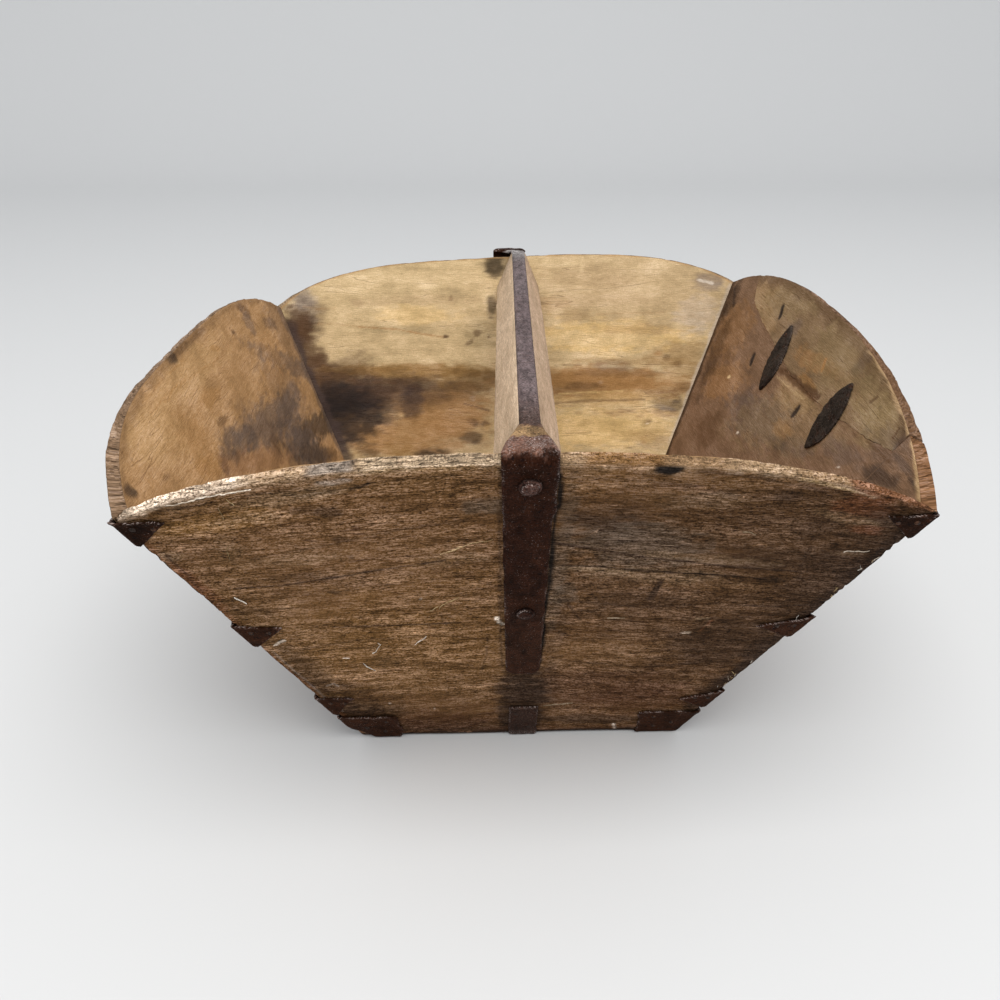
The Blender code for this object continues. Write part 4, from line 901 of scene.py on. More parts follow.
def board(name, node_name, side, material, base, marks, seed, rows, dryness, dirt,
          gain=(1, 1, 1), step=0.0018, span=(-1, 1), low=None, high=None,
          edge=(0.002, 0.0012), rough_edge=0.0008, bow=0):
    """A worn plank in the place of a CAD board, as a skin through sections across its length.
    rows are the steps up its outer and its inner face; base, dryness and dirt go by face."""
    length = 2 * side.half_along(RIM_HEIGHT)
    start, end = span
    near = np.array(END_STATIONS) / (length / 2)
    count = round(length * (end - start) / 2 / step)
    inner = np.linspace(start + near[-1] * 1.6, end - near[-1] * 1.6, count)
    share = np.concatenate([start + near, inner, (end - near)[::-1]])[:, None]

    top = (high(share) if high else side.rim(share)) - GAP / 2
    foot = low(share) - GAP if low else np.zeros(share.shape)
    drop = 0 if low else BOARD_THICKNESS * math.tan(side.lean)
    tall = np.maximum(top - foot, 0)
    outer_round = edge[0] * (1 + 0.45 * smooth_noise(share * 21, 0.3, seed + 2))
    inner_round = edge[1] * (1 + 0.45 * smooth_noise(share * 25, 0.7, seed + 3))
    slants, depths, faces, into_slant, into_depth = board_outline(
        foot, top, np.minimum(outer_round, tall / 2), np.minimum(inner_round, tall / 2), drop, rows)
    slant, depth = (np.hstack([np.broadcast_to(item, share.shape) for item in items])
                    for items in (slants, depths))
    face = np.tile(faces, (len(share), 1))

    def half_length(slant, depth):
        height = slant * math.cos(side.lean) + depth * math.sin(side.lean)
        return side.half_along(height) - depth * side.next_slope - SEAM * side.next_slope

    half = half_length(slant, depth)
    along = share * half
    at = {
        "along": along, "slant": slant, "rim": top - slant, "foot": slant,
        "start": (1 + share) * half, "end": (1 - share) * half,
    }
    at = {key: values.ravel() for key, values in at.items()}
    colour, cut = paint_face(at, face.ravel(), base, marks, seed * 100)
    colour = np.where((face.ravel() == LOWER)[:, None], colour, colour * np.array(gain))

    into = faces_worn(along, slant, depth, face, tall, seed, rough_edge) + cut.reshape(face.shape)
    if span == (-1, 1):
        for worn in ends_worn(slant / side.slope, (1 - np.abs(share)) * half):
            into = into + np.where(face == OUTER, worn, 0)
    slant = slant + into * np.array(into_slant)
    depth = depth + np.minimum(into, BOARD_THICKNESS * 0.4) * np.array(into_depth)
    along = share * half_length(slant, depth)

    grain_height = slant + depth * 0.6 + bow * np.sqrt(along ** 2 + 0.03 ** 2)
    place = np.stack([along, grain_height, face * 0.37 + seed * 0.53], -1)
    dry = np.array(dryness)[face] * (1 + 0.4 * rugged(along * 18, slant * 30, seed + 11))
    soil = np.array(dirt)[face] * (1 + 0.6 * rugged(along * 24, slant * 24, seed + 13))
    ring_piece(name, node_name, "board_wood", side.points(along, slant, depth),
               material, place, colour, wear_of(dry, soil))


PALE_LINES = (WHITE, CREAM, STRAW, PALE, GREY)


def is_fibre(line):
    """Thin pale lines are splinters and scraped-up fibres that stand on the face, not paint."""
    return line[1] in PALE_LINES and line[0] < 1.2


def marks_on(face, stains, lines):
    painted = [Line(face, *line) for line in lines if not is_fibre(line)]
    return [Stain(face, *stain) for stain in stains] + painted


def bands(face, *rows):
    return [Band(face, *row) for row in rows]


def torn_fringe():
    """Pale fibres torn up in tufts along the front board's right end, as lines in millimetres."""
    lines = []
    edge_turn = math.atan(FRONT.spread / RIM_HEIGHT)
    draws = np.random.default_rng(24).random((FRINGE_COUNT, 6))
    for tuft, drift, inset, length, turn, bend in draws:
        slant = FRINGE_TUFTS[int(tuft * len(FRINGE_TUFTS))] + 13 * (drift - 0.5)
        end = 1000 * float(FRONT.half_along(slant / 1000 / FRONT.slope))
        along = end - 2.5 - 4 * inset ** 2
        length, turn, bend = 1 + 6 * length ** 2, edge_turn + 0.15 - 1.3 * turn ** 2, bend - 0.5
        path = []
        for t in np.linspace(0, 1, 4):
            aside = 2 * length * bend * t * (1 - t)
            path += [along + math.sin(turn) * length * t - math.cos(turn) * aside,
                     slant + math.cos(turn) * length * t + math.sin(turn) * aside]
        pale = (CREAM, STRAW, WHITE)[int(inset * 3)]
        lines.append((0.5 + 0.5 * drift, pale, 0.3 + 0.7 * inset, 0, *path))
    return lines


def build_fibres(material):
    """Fine pale fibres and splinters lifted from the front board: thin bent slivers."""
    points, faces, colours = [], [], []
    lines = [line for line in FRONT_LINES if is_fibre(line)] + torn_fringe()
    for number, (width, colour, strength, _, *path) in enumerate(lines):
        path = np.reshape(path, (-1, 2)) / 1000
        run = np.concatenate([[0], np.cumsum(np.hypot(*np.diff(path, axis=0).T))])
        places = np.linspace(0, run[-1], max(4, int(run[-1] / 0.0012)))
        along, slant = (np.interp(places, run, path[:, i]) for i in (0, 1))
        along = along + 0.0007 * rugged(places * 230, 0.5, number)
        slant = slant + 0.0009 * rugged(places * 230, 5.5, number)
        limit = FRONT.half_along(slant / FRONT.slope) - FIBRE_INSET
        along = np.clip(along, -limit, limit)
        heading = np.arctan2(np.gradient(slant), np.gradient(along))
        swell = 0.35 + np.sin(math.pi * np.clip(places / run[-1], 0.05, 0.95))
        broken = 0.55 + 0.45 * rugged(places * 700, 1.5, number + 9)
        half = 0.00034 * min(width, 1.1) * swell * broken
        start = len(points)
        for a, s, turn, reach in zip(along, slant, heading, half):
            for side, height in ((1, -0.0006), (0, 0.00012), (-1, -0.0006)):
                points.append(FRONT.points(a - math.sin(turn) * reach * side,
                                           s + math.cos(turn) * reach * side, -height))
                colours.append(np.array(colour) * (0.55 + 0.45 * strength))
        faces += [tuple(start + i for i in face) for face in ring_faces(len(places), 3)]
    place = np.array(points)
    wear = np.tile((0.4, 0.2, 0), (len(points), 1))
    obj = mesh_object("lifted_fibres", place, faces, material, place, colours, wear, sharp=70)
    finish_piece(obj, None)


def top_edge_marks():
    """Wear along the front's top edge, and where it runs over onto the outer face, with a painted highlight
    from 92 to 128 mm along.
    """
    runs = (
        (-196, -172, CREAM, 0.95), (-176, -133, CREAM, 0.75), (-133, -108, PALE, 0.6),
        (-101, -85, GREY, 0.7), (-77, -14, STRAW, 0.6), (-77, -14, CREAM, 0.5), (8, 26, PALE, 0.5),
        # The pale run from 92 to 128 mm is a painted highlight on the edge.
        (26, 62, OCHRE, 0.9), (62, 92, TAN, 0.85), (92, 128, PALE, 0.6), (128, 150, TAN, 0.5),
        (154, 198, RED_WOOD, 0.75),
    )
    marks = bands(OUTER, ("rim", 7, TAN, 0.6, -200, 60, 30), ("rim", 3, TAN, 0.5),
                  ("rim", 3.6, PALE, 0.6, -200, 0, 30))
    for first, last, colour, strength in runs:
        marks += bands(EDGE, ("rim", 30, colour, strength, first, last, 6))
        marks += bands(OUTER, ("rim", 3.2, colour, strength * 0.85, first, last, 6))
    # The second band, thin and cream from 96 to 128 mm, is a painted highlight.
    return marks + bands(OUTER, ("rim", 6, CREAM, 0.55, -196, -150, 12), ("rim", 2, CREAM, 0.6, 96, 128, 6))


def unseen_marks():
    """Guessed wear of the outer faces that the photograph hides, and painted shade along their feet."""
    return bands(
        OUTER, ("end", 9, DARK, 0.6), ("start", 8, DARK, 0.55), ("foot", 10, RUST, 0.5),
        # The black strip along the foot is painted shade.
        ("foot", 3, BLACK, 0.7), ("rim", 4, TAN, 0.5),
    ) + marks_on(OUTER, (
        (-70, 90, 60, 34, 4, DARK, 0.4), (60, 190, 70, 22, -3, GOLDEN, 0.5),
        (120, 120, 36, 24, 20, DARK, 0.45), (-120, 210, 40, 16, 6, TAUPE, 0.4),
        (20, 40, 70, 16, 0, RUST, 0.5),
    ), ())


def board_paints():
    """All marks of each board, in the order in which they are laid over one another."""
    front = top_edge_marks() + marks_on(OUTER, FRONT_STAINS, FRONT_LINES) + marks_on(
        OUTER, ((-62, 68, 52, 34, 0, GOLDEN, 0.35), (0, 57, 14, 26, 0, DARK, 0.85)), ())
    # The black strip along the front's foot is painted shade under its bottom edge.
    front += bands(
        OUTER, ("end", 11, DARK, 0.8), ("end", 1.6, BLACK, 0.75), ("start", 4, RUSSET, 0.5),
        ("start", 1, PALE, 0.6), ("foot", 9, RUST, 0.5), ("foot", 3.4, BLACK, 0.8))
    back = marks_on(INNER, BACK_STAINS, BACK_LINES) + bands(
        INNER, ("end", 7, PURPLE, 0.85, 60, 205, 20), ("start", 2.5, ASHEN, 0.7, 120, 240, 20),
        ("rim", 1.6, HONEY, 0.7))
    left = marks_on(INNER, LEFT_STAINS, LEFT_LINES) + bands(
        INNER, ("rim", 7, UMBER, 0.35), ("start", 9, SMOKE, 0.6))
    right = marks_on(INNER, RIGHT_STAINS, RIGHT_LINES)
    right += bands(INNER, ("end", 9, DARK, 0.8), ("rim", 2.5, UMBER, 0.3))
    right += bands(EDGE, ("rim", 30, UMBER, 0.55))
    # Painted highlight: the thin fawn band along the inner rim, on the inner arris.
    right += bands(INNER, ("rim", 2.3, FAWN, 0.85, -205, -162, 4))
    arch = marks_on(INNER, ARCH_STAINS, ARCH_LINES)
    # Painted highlight: the thin fawn band along the arch's inner rim, on the inner arris.
    arch += bands(INNER, ("rim", 9, UMBER, 0.5), ("rim", 2.3, FAWN, 0.85, -165, -75, 12))
    arch += bands(EDGE, ("rim", 30, UMBER, 0.6))
    hidden = unseen_marks()
    return front, back + hidden, left + hidden, right + hidden, arch


def build_boards(wood, soft_wood):
    front, back, left, right, arch = board_paints()
    bare = (0.14, 0.078, 0.037)
    _, first, last = crack_line(np.zeros(1))

    def split_top(share):
        cracked = (share > first) & (share < last)
        return np.where(cracked, crack_line(share)[0], RIGHT.rim(share))

    board("front_board_wood", "front_board", FRONT, wood, (bare, TAN, (0.4, 0.27, 0.15), UMBER),
          front, 1, rows=(0.0011, 0.003), step=0.0015, edge=(0.004, 0.0014), rough_edge=0.0013,
          dryness=(1, 1, 0.05, 1), dirt=(0.5, 0.95, 0.1, 0.3), bow=0.12, gain=(1.18, 1.08, 1))
    board("back_board_wood", "back_board", BACK, soft_wood,
          (bare, TAN, (0.6, 0.45, 0.26), UMBER), back, 2, rows=(0.003, 0.0011),
          rough_edge=0.0005, dryness=(1, 0.7, 0.05, 1), dirt=(0.8, 0.7, 0.1, 0.4))
    board("left_end_wood", "left_end_board", LEFT, soft_wood,
          (bare, (0.2, 0.13, 0.085), (0.38, 0.23, 0.12), UMBER), left, 3, rows=(0.0026, 0.0012),
          dryness=(1, 1, 0.04, 1), dirt=(0.8, 1, 0.12, 0.4), gain=(1.22, 1.22, 1.18))
    board("right_end_wood", "right_end_board", RIGHT, soft_wood,
          (bare, (0.22, 0.115, 0.062), (0.19, 0.12, 0.078), UMBER), right, 4,
          rows=(0.0026, 0.0012), high=split_top, edge=(0.0008, 0.0008), rough_edge=0.0003,
          dryness=(1, 0.8, 0.1, 1), dirt=(0.8, 0.8, 0.2, 0.4), gain=(1.3, 1.26, 1.2))
    board("right_arch_wood", "right_end_arch_piece", RIGHT, soft_wood,
          (bare, (0.21, 0.125, 0.075), (0.245, 0.168, 0.1), UMBER), arch, 5,
          rows=(0.0012, 0.0007), step=0.0013, span=(first + 0.004, last - 0.004),
          low=lambda share: crack_line(share)[0], rough_edge=0.0007,
          dryness=(1, 0.8, 0.1, 1), dirt=(0.8, 0.8, 0.2, 0.4), gain=(1.08, 1.04, 1))


# Handle

HANDLE_TOP = 0.25488
BAR_FALL, BAR_OFFSET, BAR_DRIFT = 0.0038, 0.0056, 0.0135
BAR_RIDGE, BAR_FLANK, BAR_SHOULDER, BAR_DEPTH, BAR_BELLY = 0.00525, 0.017, -0.026, 0.043, 0.011
LEG_DROP, LEG_FOOT_OFFSET = 0.178, 0.0004
FRONT_LEG_OFFSET, BACK_LEG_OFFSET = -0.0022, 0.005
FRONT_FLARE, BACK_FLARE = 0.034, 0.01
FOLD_RADIUS = 0.003


def bar_centre(y):
    return BAR_OFFSET + BAR_DRIFT * y / RIM_DEPTH


def bar_top(y):
    return HANDLE_TOP - BAR_FALL * (y / RIM_DEPTH + 0.5)


def leg_top(side):
    return bar_top(side.out[1] * side.across(HANDLE_TOP - WOOD_BOTTOM)) - WOOD_BOTTOM


def bar_section():
    """Once round the bar: ridge, shaved shoulders, flanks and a rounded underside."""
    low = BAR_BELLY - BAR_DEPTH
    corners = [(BAR_RIDGE, 0), (BAR_FLANK, BAR_SHOULDER), (BAR_FLANK, low)]
    outline = []
    for (x0, z0), (x1, z1) in zip(corners, corners[1:]):
        shares = np.linspace(0, 1, 19)[:-1]
        outline += [(x0 + (x1 - x0) * t, z0 + (z1 - z0) * t) for t in shares]
    half = len(outline)
    for turn in np.linspace(0, math.pi, 25)[:-1]:
        outline.append((BAR_FLANK * math.cos(turn), low - BAR_BELLY * math.sin(turn)))
    outline += [(-x, z) for x, z in outline[half:0:-1]]
    outline += [(x, 0) for x in np.linspace(-BAR_RIDGE, BAR_RIDGE, 7)[:-1]]
    return np.array(outline)


def bar_colour_with_painted_light(y, run, outline):
    """Paler on its left than on its right, as painted light falling from the left; darker below and near
    its ends, with faint clouds.
    """
    # Painted light: the left flank is painted paler than the right.
    left = np.broadcast_to(outline[:, 0] < 0, y.shape).ravel()
    colour = np.where(left[:, None], (0.66, 0.5, 0.35), (0.58, 0.42, 0.295))
    low = blend(-0.02, -0.036, np.broadcast_to(outline[:, 1], y.shape).ravel())
    near_end = blend(0.15, 0.205, np.abs(y)).ravel()
    clouds = rugged(y.ravel() * 22, run.ravel() * 90, 73)
    for change in (-0.3 * low, -0.25 * near_end, 0.05 * clouds):
        colour = colour * (1 + change[:, None])
    return colour


def build_handle_bar(material):
    """The wooden bar from front to back, skewed and a little lower at the back."""
    outline = bar_section()
    after, before = np.roll(outline, -1, 0), np.roll(outline, 1, 0)
    tangent = (after - before) / np.linalg.norm(after - before, axis=1)[:, None]
    normal = np.stack([-tangent[:, 1], tangent[:, 0]], 1)
    ahead = (after - outline) / np.linalg.norm(after - outline, axis=1)[:, None]
    behind = np.linalg.norm(outline - before, axis=1)
    corner = 1 - np.abs(np.sum(ahead * (outline - before) / behind[:, None], axis=1))

    share = np.linspace(-1, 1, 120)[:, None]
    inset = (BOARD_THICKNESS + GAP) * FRONT.slope
    ends = []
    for sign in (-1, 1):
        z = bar_top(sign * FRONT.across(HANDLE_TOP - WOOD_BOTTOM)) + outline[:, 1]
        ends.append((sign * (FRONT.across(z - WOOD_BOTTOM) - inset), z))
    y, z = (start + (end - start) * (share + 1) / 2 for start, end in zip(*ends))
    around = np.arange(len(outline))[None, :] + 0 * share
    run = np.cumsum(behind)[None, :] + 0 * share
    shaved = 0.00032 * (1 + smooth_noise(y * 38, around * 0.14, 61))
    shaved += 0.00012 * (1 + smooth_noise(y * 120, around * 0.6, 67))
    rubbed = np.minimum(corner * 4, 1) * 0.00045 * (1 + 0.6 * smooth_noise(y * 60, 0.5, 71))
    into = (shaved + rubbed) * np.where(outline[:, 1] > -1e-6, 0.3, 1)
    x = outline[:, 0] + bar_centre(y) + normal[:, 0] * into
    points = np.stack([x, y, z + normal[:, 1] * into], -1)
    place = np.stack([y, run, np.full(y.shape, 4.7)], -1)
    wear = wear_of(np.full(y.shape, 0.12), np.full(y.shape, 0.35))
    ring_piece("handle_bar_wood", "handle_bar", "handle_wood", points,
               material, place, bar_colour_with_painted_light(y, run, outline), wear)


def plate_faces(rows, columns):
    """Faces of a closed plate: a front grid, then a back grid of the same size."""
    back = rows * columns
    faces = []
    for i in range(rows - 1):
        for j in range(columns - 1):
            a = i * columns + j
            b = a + columns
            faces.append((a, a + 1, b + 1, b))
            faces.append((back + a, back + b, back + b + 1, back + a + 1))
    rim = list(range(columns)) + [i * columns + columns - 1 for i in range(1, rows)]
    rim += [(rows - 1) * columns + j for j in range(columns - 2, -1, -1)]
    rim += [i * columns for i in range(rows - 2, 0, -1)]
    faces += [(b, a, back + a, back + b) for a, b in zip(rim, rim[1:] + rim[:1])]
    return faces


def plate(name, node_name, back, front, place, colour, wear, material, softened=0.45):
    """A forged or cut plate between two grids of points, its front edge softened all round."""
    rows, columns = back.shape[:2]
    front = front.copy()
    soft = np.zeros((rows, columns), bool)
    soft[[0, -1], :] = True
    soft[:, [0, -1]] = True
    front[soft] += (back[soft] - front[soft]) * softened
    points = np.concatenate([front.reshape(-1, 3), back.reshape(-1, 3)])
    doubled = [np.concatenate([v.reshape(-1, 3)] * 2) for v in (place, colour, wear)]
    obj = mesh_object(name, points, plate_faces(rows, columns), material, *doubled, sharp=50)
    finish_piece(obj, node_name)


def dense_path(path, step):
    """The same path with its stations no further apart than step, and the way run along it."""
    path = np.array(path, float)
    run = np.concatenate([[0], np.cumsum(np.hypot(*np.diff(path[:, :2], axis=0).T))])
    stretches = []
    for a, b in zip(run, run[1:]):
        stretches.append(np.linspace(a, b, max(1, math.ceil((b - a) / step)) + 1))
    places = np.unique(np.concatenate(stretches))
    columns = [np.interp(places, run, path[:, i]) for i in range(path.shape[1])]
    return np.stack(columns, 1), places


def strap(name, node_name, side, path, thickness, material, step, columns, look, limit=None):
    """An iron strap bent along its path. look gives three functions: the way its two edges wander
    and it swells, its colours, and its wear."""
    shape, colours, rubs = look
    path, run = dense_path(path, step)
    reach, level, half, centre = path.T[:, :, None]
    across = np.linspace(-1, 1, columns)[None, :]
    slope = np.gradient(path[:, :2], axis=0)
    slope = slope / np.linalg.norm(slope, axis=1)[:, None]
    normal = side.out * slope[:, 1][:, None] - UP * slope[:, 0][:, None]
    for _ in range(2):
        normal[1:-1] = (normal[:-2] + 2 * normal[1:-1] + normal[2:]) / 4
    normal /= np.linalg.norm(normal, axis=1)[:, None]
    down = run[:, None] + 0 * across
    left, right, swell = shape(down, across)
    x = centre + (across * half + np.where(across < 0, left, right) * np.abs(across))
    back = side.out * reach[..., None] + UP * level[..., None]
    back = back + np.array((1, 0, 0)) * x[..., None]
    soft = 1 - 0.35 * blend(0.78, 1, np.abs(across))
    dented = 1 - 0.16 * np.abs(rugged(down * 150, x * 170, 83))
    lift = thickness * soft * dented * swell
    front = back + normal[:, None, :] * lift[..., None]
    if limit is not None:
        front = np.clip(front, limit[0], limit[1])
    place = np.stack([x, down, np.full(down.shape, side.out[1] * 0.8)], -1)
    plate(name, node_name, back, front, place,
          colours(down, across), rubs(down, across), material)


def leg_place(side, height):
    """Reach and level of a strap's back on a board's face, at a height above the wood's foot."""
    return side.across(height) + GAP * side.slope, WOOD_BOTTOM + height


def handle_path(side, leg_offset, flare, strip_end):
    """Up the leg, over the fold and along the ridge: reach, height, half width and middle."""
    top = leg_top(side)
    end, chamfer = top - LEG_DROP, 0.0035
    level = top + WOOD_BOTTOM + GAP
    reach = leg_place(side, level - WOOD_BOTTOM)[0]
    tangent = FOLD_RADIUS * math.tan((math.pi / 2 + side.lean) / 2)
    path = [(*leg_place(side, end), 0.007, LEG_FOOT_OFFSET),
            (*leg_place(side, end + chamfer), 0.0105, LEG_FOOT_OFFSET)]
    for turn in np.linspace(-side.lean, math.pi / 2, 15):
        path.append((reach - tangent + FOLD_RADIUS * math.cos(turn),
                     level - FOLD_RADIUS + FOLD_RADIUS * math.sin(turn), 0.013, leg_offset))
    crown = path[-1][0]
    for share, width_share in ((0.35, 0.72), (0.7, 0.28), (1, 0)):
        reach = crown - flare * share
        y = side.out[1] * reach
        middle = leg_offset + (bar_centre(y) - leg_offset) * share
        path.append((reach, bar_top(y) + GAP, 0.005 + 0.008 * width_share, middle))
    y = side.out[1] * strip_end
    path.append((strip_end, bar_top(y) + GAP, 0.005, bar_centre(y)))
    return path


def handle_strap_look(flare, golden_share, fold, near_neck, far_off):
    """Edges, colours and wear of a handle strap, from its foot up over the fold and the neck; the bright
    specks on the fold are a painted highlight.
    """
    oxblood, lower_red = (0.0195, 0.0066, 0.0034), (0.034, 0.0134, 0.0072)
    golden = np.array((0.34, 0.215, 0.105))
    near_neck, far_off = np.array(near_neck), np.array(far_off)
    leg_length = LEG_DROP * FRONT.slope

    def shape(down, across):
        """The leg's right edge steps in under its head, and the fold is a thick rough roll."""
        from_top = leg_length - down
        right = 0.0005 * blend(0.0436, 0.0376, from_top)
        right = right - 0.0007 * blend(0.0376, 0.0446, from_top)
        on_leg = 0.12 + 0.88 * blend(-0.004, 0.004, from_top)
        wavy = 0.0006 * smooth_noise(down * 130, 7.5, 92)
        right = right + (wavy + 0.0003 * smooth_noise(down * 420, 1.5, 93)) * on_leg
        left = 0.00035 * smooth_noise(down * 260, 0.5, 91) * on_leg
        roll = bump_at(from_top, -0.003, 0.006)
        leg = np.where(from_top > 0.012, 0.86, 0.92)
        return left, right, leg + 0.34 * roll * (1 - 0.4 * across ** 2)

    def colours(down, across):
        from_top = (leg_length - down)[..., None]
        place = from_top + 0.002 * rugged(down * 300, across * 4, 94)[..., None]
        neck = blend(-flare * 0.46, -flare * 0.52, place)
        neck = neck * blend(-flare * 0.92, -flare * 0.8, place)
        band = golden * np.where(across > 0.1, 0.55, 1)[..., None]
        off = blend(-flare, -flare - 0.05, from_top)
        layers = (
            (fold, blend(0.002, -0.001, place), 1), (band, neck, golden_share),
            (near_neck + (far_off - near_neck) * off, blend(-flare * 0.8, -flare * 0.95, place), 1),
            (lower_red, blend(0.08, 0.17, from_top), 0.8),
        )
        colour = np.array(oxblood) + 0 * from_top
        for over, share, strength in layers:
            colour = colour + (over - colour) * share * strength
        mottled = 1 + 0.25 * rugged(down * 60, across * 2, 96)
        mottled = mottled + 0.35 * rugged(down * 230, across * 3, 90)
        return colour * mottled[..., None]

    def rubs(down, across):
        from_top = leg_length - down
        noise = rugged(down * 160, across * 3, 95)
        edge = blend(0.88, 0.99, np.abs(across)) * (0.08 + 0.6 * noise)
        edge = edge * blend(0, 0.02, from_top + 0.02)
        # Painted highlight: bright specks over the fold, where it catches the light, with some rubbing.
        roll = blend(0.002, -0.003, from_top)
        roll = roll * blend(-flare * 0.56, -flare * 0.42, from_top)
        roll = roll * (0.25 + 0.75 * blend(-0.45, 0.3, noise))
        strip = blend(-flare * 0.8, -flare, from_top)
        strip = strip * (0.12 + 0.3 * np.maximum(noise, 0))
        end = blend(leg_length - 0.002, leg_length - 0.0004, from_top)
        end = end * (0.2 + 0.4 * noise)
        return wear_of(np.maximum(edge, np.maximum(roll, strip)) + end, 0.35 + 0.5 * noise)

    return shape, colours, rubs


def build_handle_straps(material, limit):
    """The two forged straps: up a board, folded over its rim and along the ridge to meet."""
    front_look = handle_strap_look(FRONT_FLARE, 0.85, (0.12, 0.059, 0.041),
                                   (0.072, 0.044, 0.036), (0.115, 0.085, 0.086))
    back_look = handle_strap_look(BACK_FLARE, 0, (0.0195, 0.0066, 0.0034),
                                  (0.25, 0.235, 0.23), (0.12, 0.092, 0.094))
    front_path = handle_path(FRONT, FRONT_LEG_OFFSET, FRONT_FLARE, -0.052)
    back_path = handle_path(BACK, BACK_LEG_OFFSET, BACK_FLARE, 0.0523)
    strap("front_strap_iron", "front_handle_strap", FRONT, front_path, STRAP_THICKNESS,
          material, 0.0009, 21, front_look, limit)
    strap("back_strap_iron", "back_handle_strap", BACK, back_path, STRAP_THICKNESS,
          material, 0.0013, 15, back_look, limit)


def build_base_strap(material):
    """The thin strap under the base, turned up on the front and the back."""
    radius, level, half, offset, rise = 0.0012, WOOD_BOTTOM - GAP, 0.00925, 0.0023, 0.034
    foot = leg_place(FRONT, level - WOOD_BOTTOM)[0]
    tangent = radius * math.tan((math.pi / 2 - FRONT.lean) / 2)
    front_half = [(*leg_place(FRONT, rise), half, offset)]
    for turn in np.linspace(-FRONT.lean, -math.pi / 2, 8):
        front_half.append((foot - tangent + radius * math.cos(turn),
                           level + radius + radius * math.sin(turn), half, offset))
    back_half = [(-reach, *rest) for reach, *rest in front_half[::-1]]
    path = (front_half + back_half)[::-1]
    total = dense_path(path, 1)[1][-1]

    def shape(down, across):
        ragged = 0.0004 * smooth_noise(down * 210, 3.5, 97)
        return ragged, ragged, 0.96 + 0 * down

    def colours(down, across):
        cloudy = 1 + 0.3 * rugged(down * 90, across * 2, 98)
        return np.array((0.034, 0.018, 0.013)) * cloudy[..., None]

    def rubs(down, across):
        noise = rugged(down * 180, across * 3, 99)
        end = np.maximum(blend(0.0012, 0.0004, down),
                         blend(total - 0.0012, total - 0.0004, down)) * 0.5
        edge = blend(0.85, 0.98, np.abs(across)) * (0.1 + 0.4 * noise)
        bend = bump_at(total - down, 0.0355, 0.003) * 0.5
        return wear_of(np.maximum(end, edge) + bend, 0.5 + 0.5 * noise)

    strap("base_strap_iron", "base_strap", FRONT, path, SHEET_THICKNESS, material, 0.0018, 13,
          (shape, colours, rubs))


# Corner irons, plates, rivets

FOLD_SOFTNESS = 0.0022
MIDDLE_LEVEL, LOW_LEVEL, FOOT_HEIGHT, FOOT_FLANGE, RIM_INSET = 0.1285, 0.0505, 0.0255, 0.013, 0.001
FOOT_LOSS, FOOT_LOSS_REACH, FOOT_LOSS_HEIGHT = 0.0068, 0.0105, 0.022
PLATE_LENGTH, PLATE_WIDTH, PLATE_THICKNESS, PLATE_LEVEL = 0.05, 0.0235, 0.0016, 0.2265

# Each corner's irons: size, how far the middle and the low one hang at their ends, size of the foot
IRON_SHARES = {
    "front_left": (1, 0.08, 0.02, 1), "front_right": (0.96, 0.4, 0.42, 0.98),
    "back_right": (1.02, 0.05, 0.12, 0.92), "back_left": (0.98, 0.16, 0.05, 0.86),
}
# Mending plates: name, middle along the right end, sideways lean over their length, seed
PLATES = (("rear", 0.04, 0.008, 71), ("front", -0.0725, -0.008, 73))


def corner_points(corner, height, depth):
    """Points on the box's upright edge at a corner, at a distance out from both its faces."""
    first, second = CORNERS[corner]
    height, depth = np.broadcast_arrays(np.asarray(height, float), np.asarray(depth, float))
    reach_first = first.across(height) + depth * first.slope
    reach_second = second.across(height) + depth * second.slope
    level = (WOOD_BOTTOM + height)[..., None] * UP
    return reach_first[..., None] * first.out + reach_second[..., None] * second.out + level


def worn_foot(points, level):
    """The front left foot iron is worn off round its corner."""
    corner = LEFT.out * LEFT.base_across + FRONT.out * FRONT.base_across
    far = np.hypot(points[..., 0] - corner[0], points[..., 1] - corner[1])
    least = FOOT_LOSS * np.clip(1 - far / FOOT_LOSS_REACH, 0, 1)
    above = points[..., 2] - level
    raised = level + least + above * (1 - least / FOOT_LOSS_HEIGHT)
    points[..., 2] = np.where(above < FOOT_LOSS_HEIGHT, raised, points[..., 2])
    return points


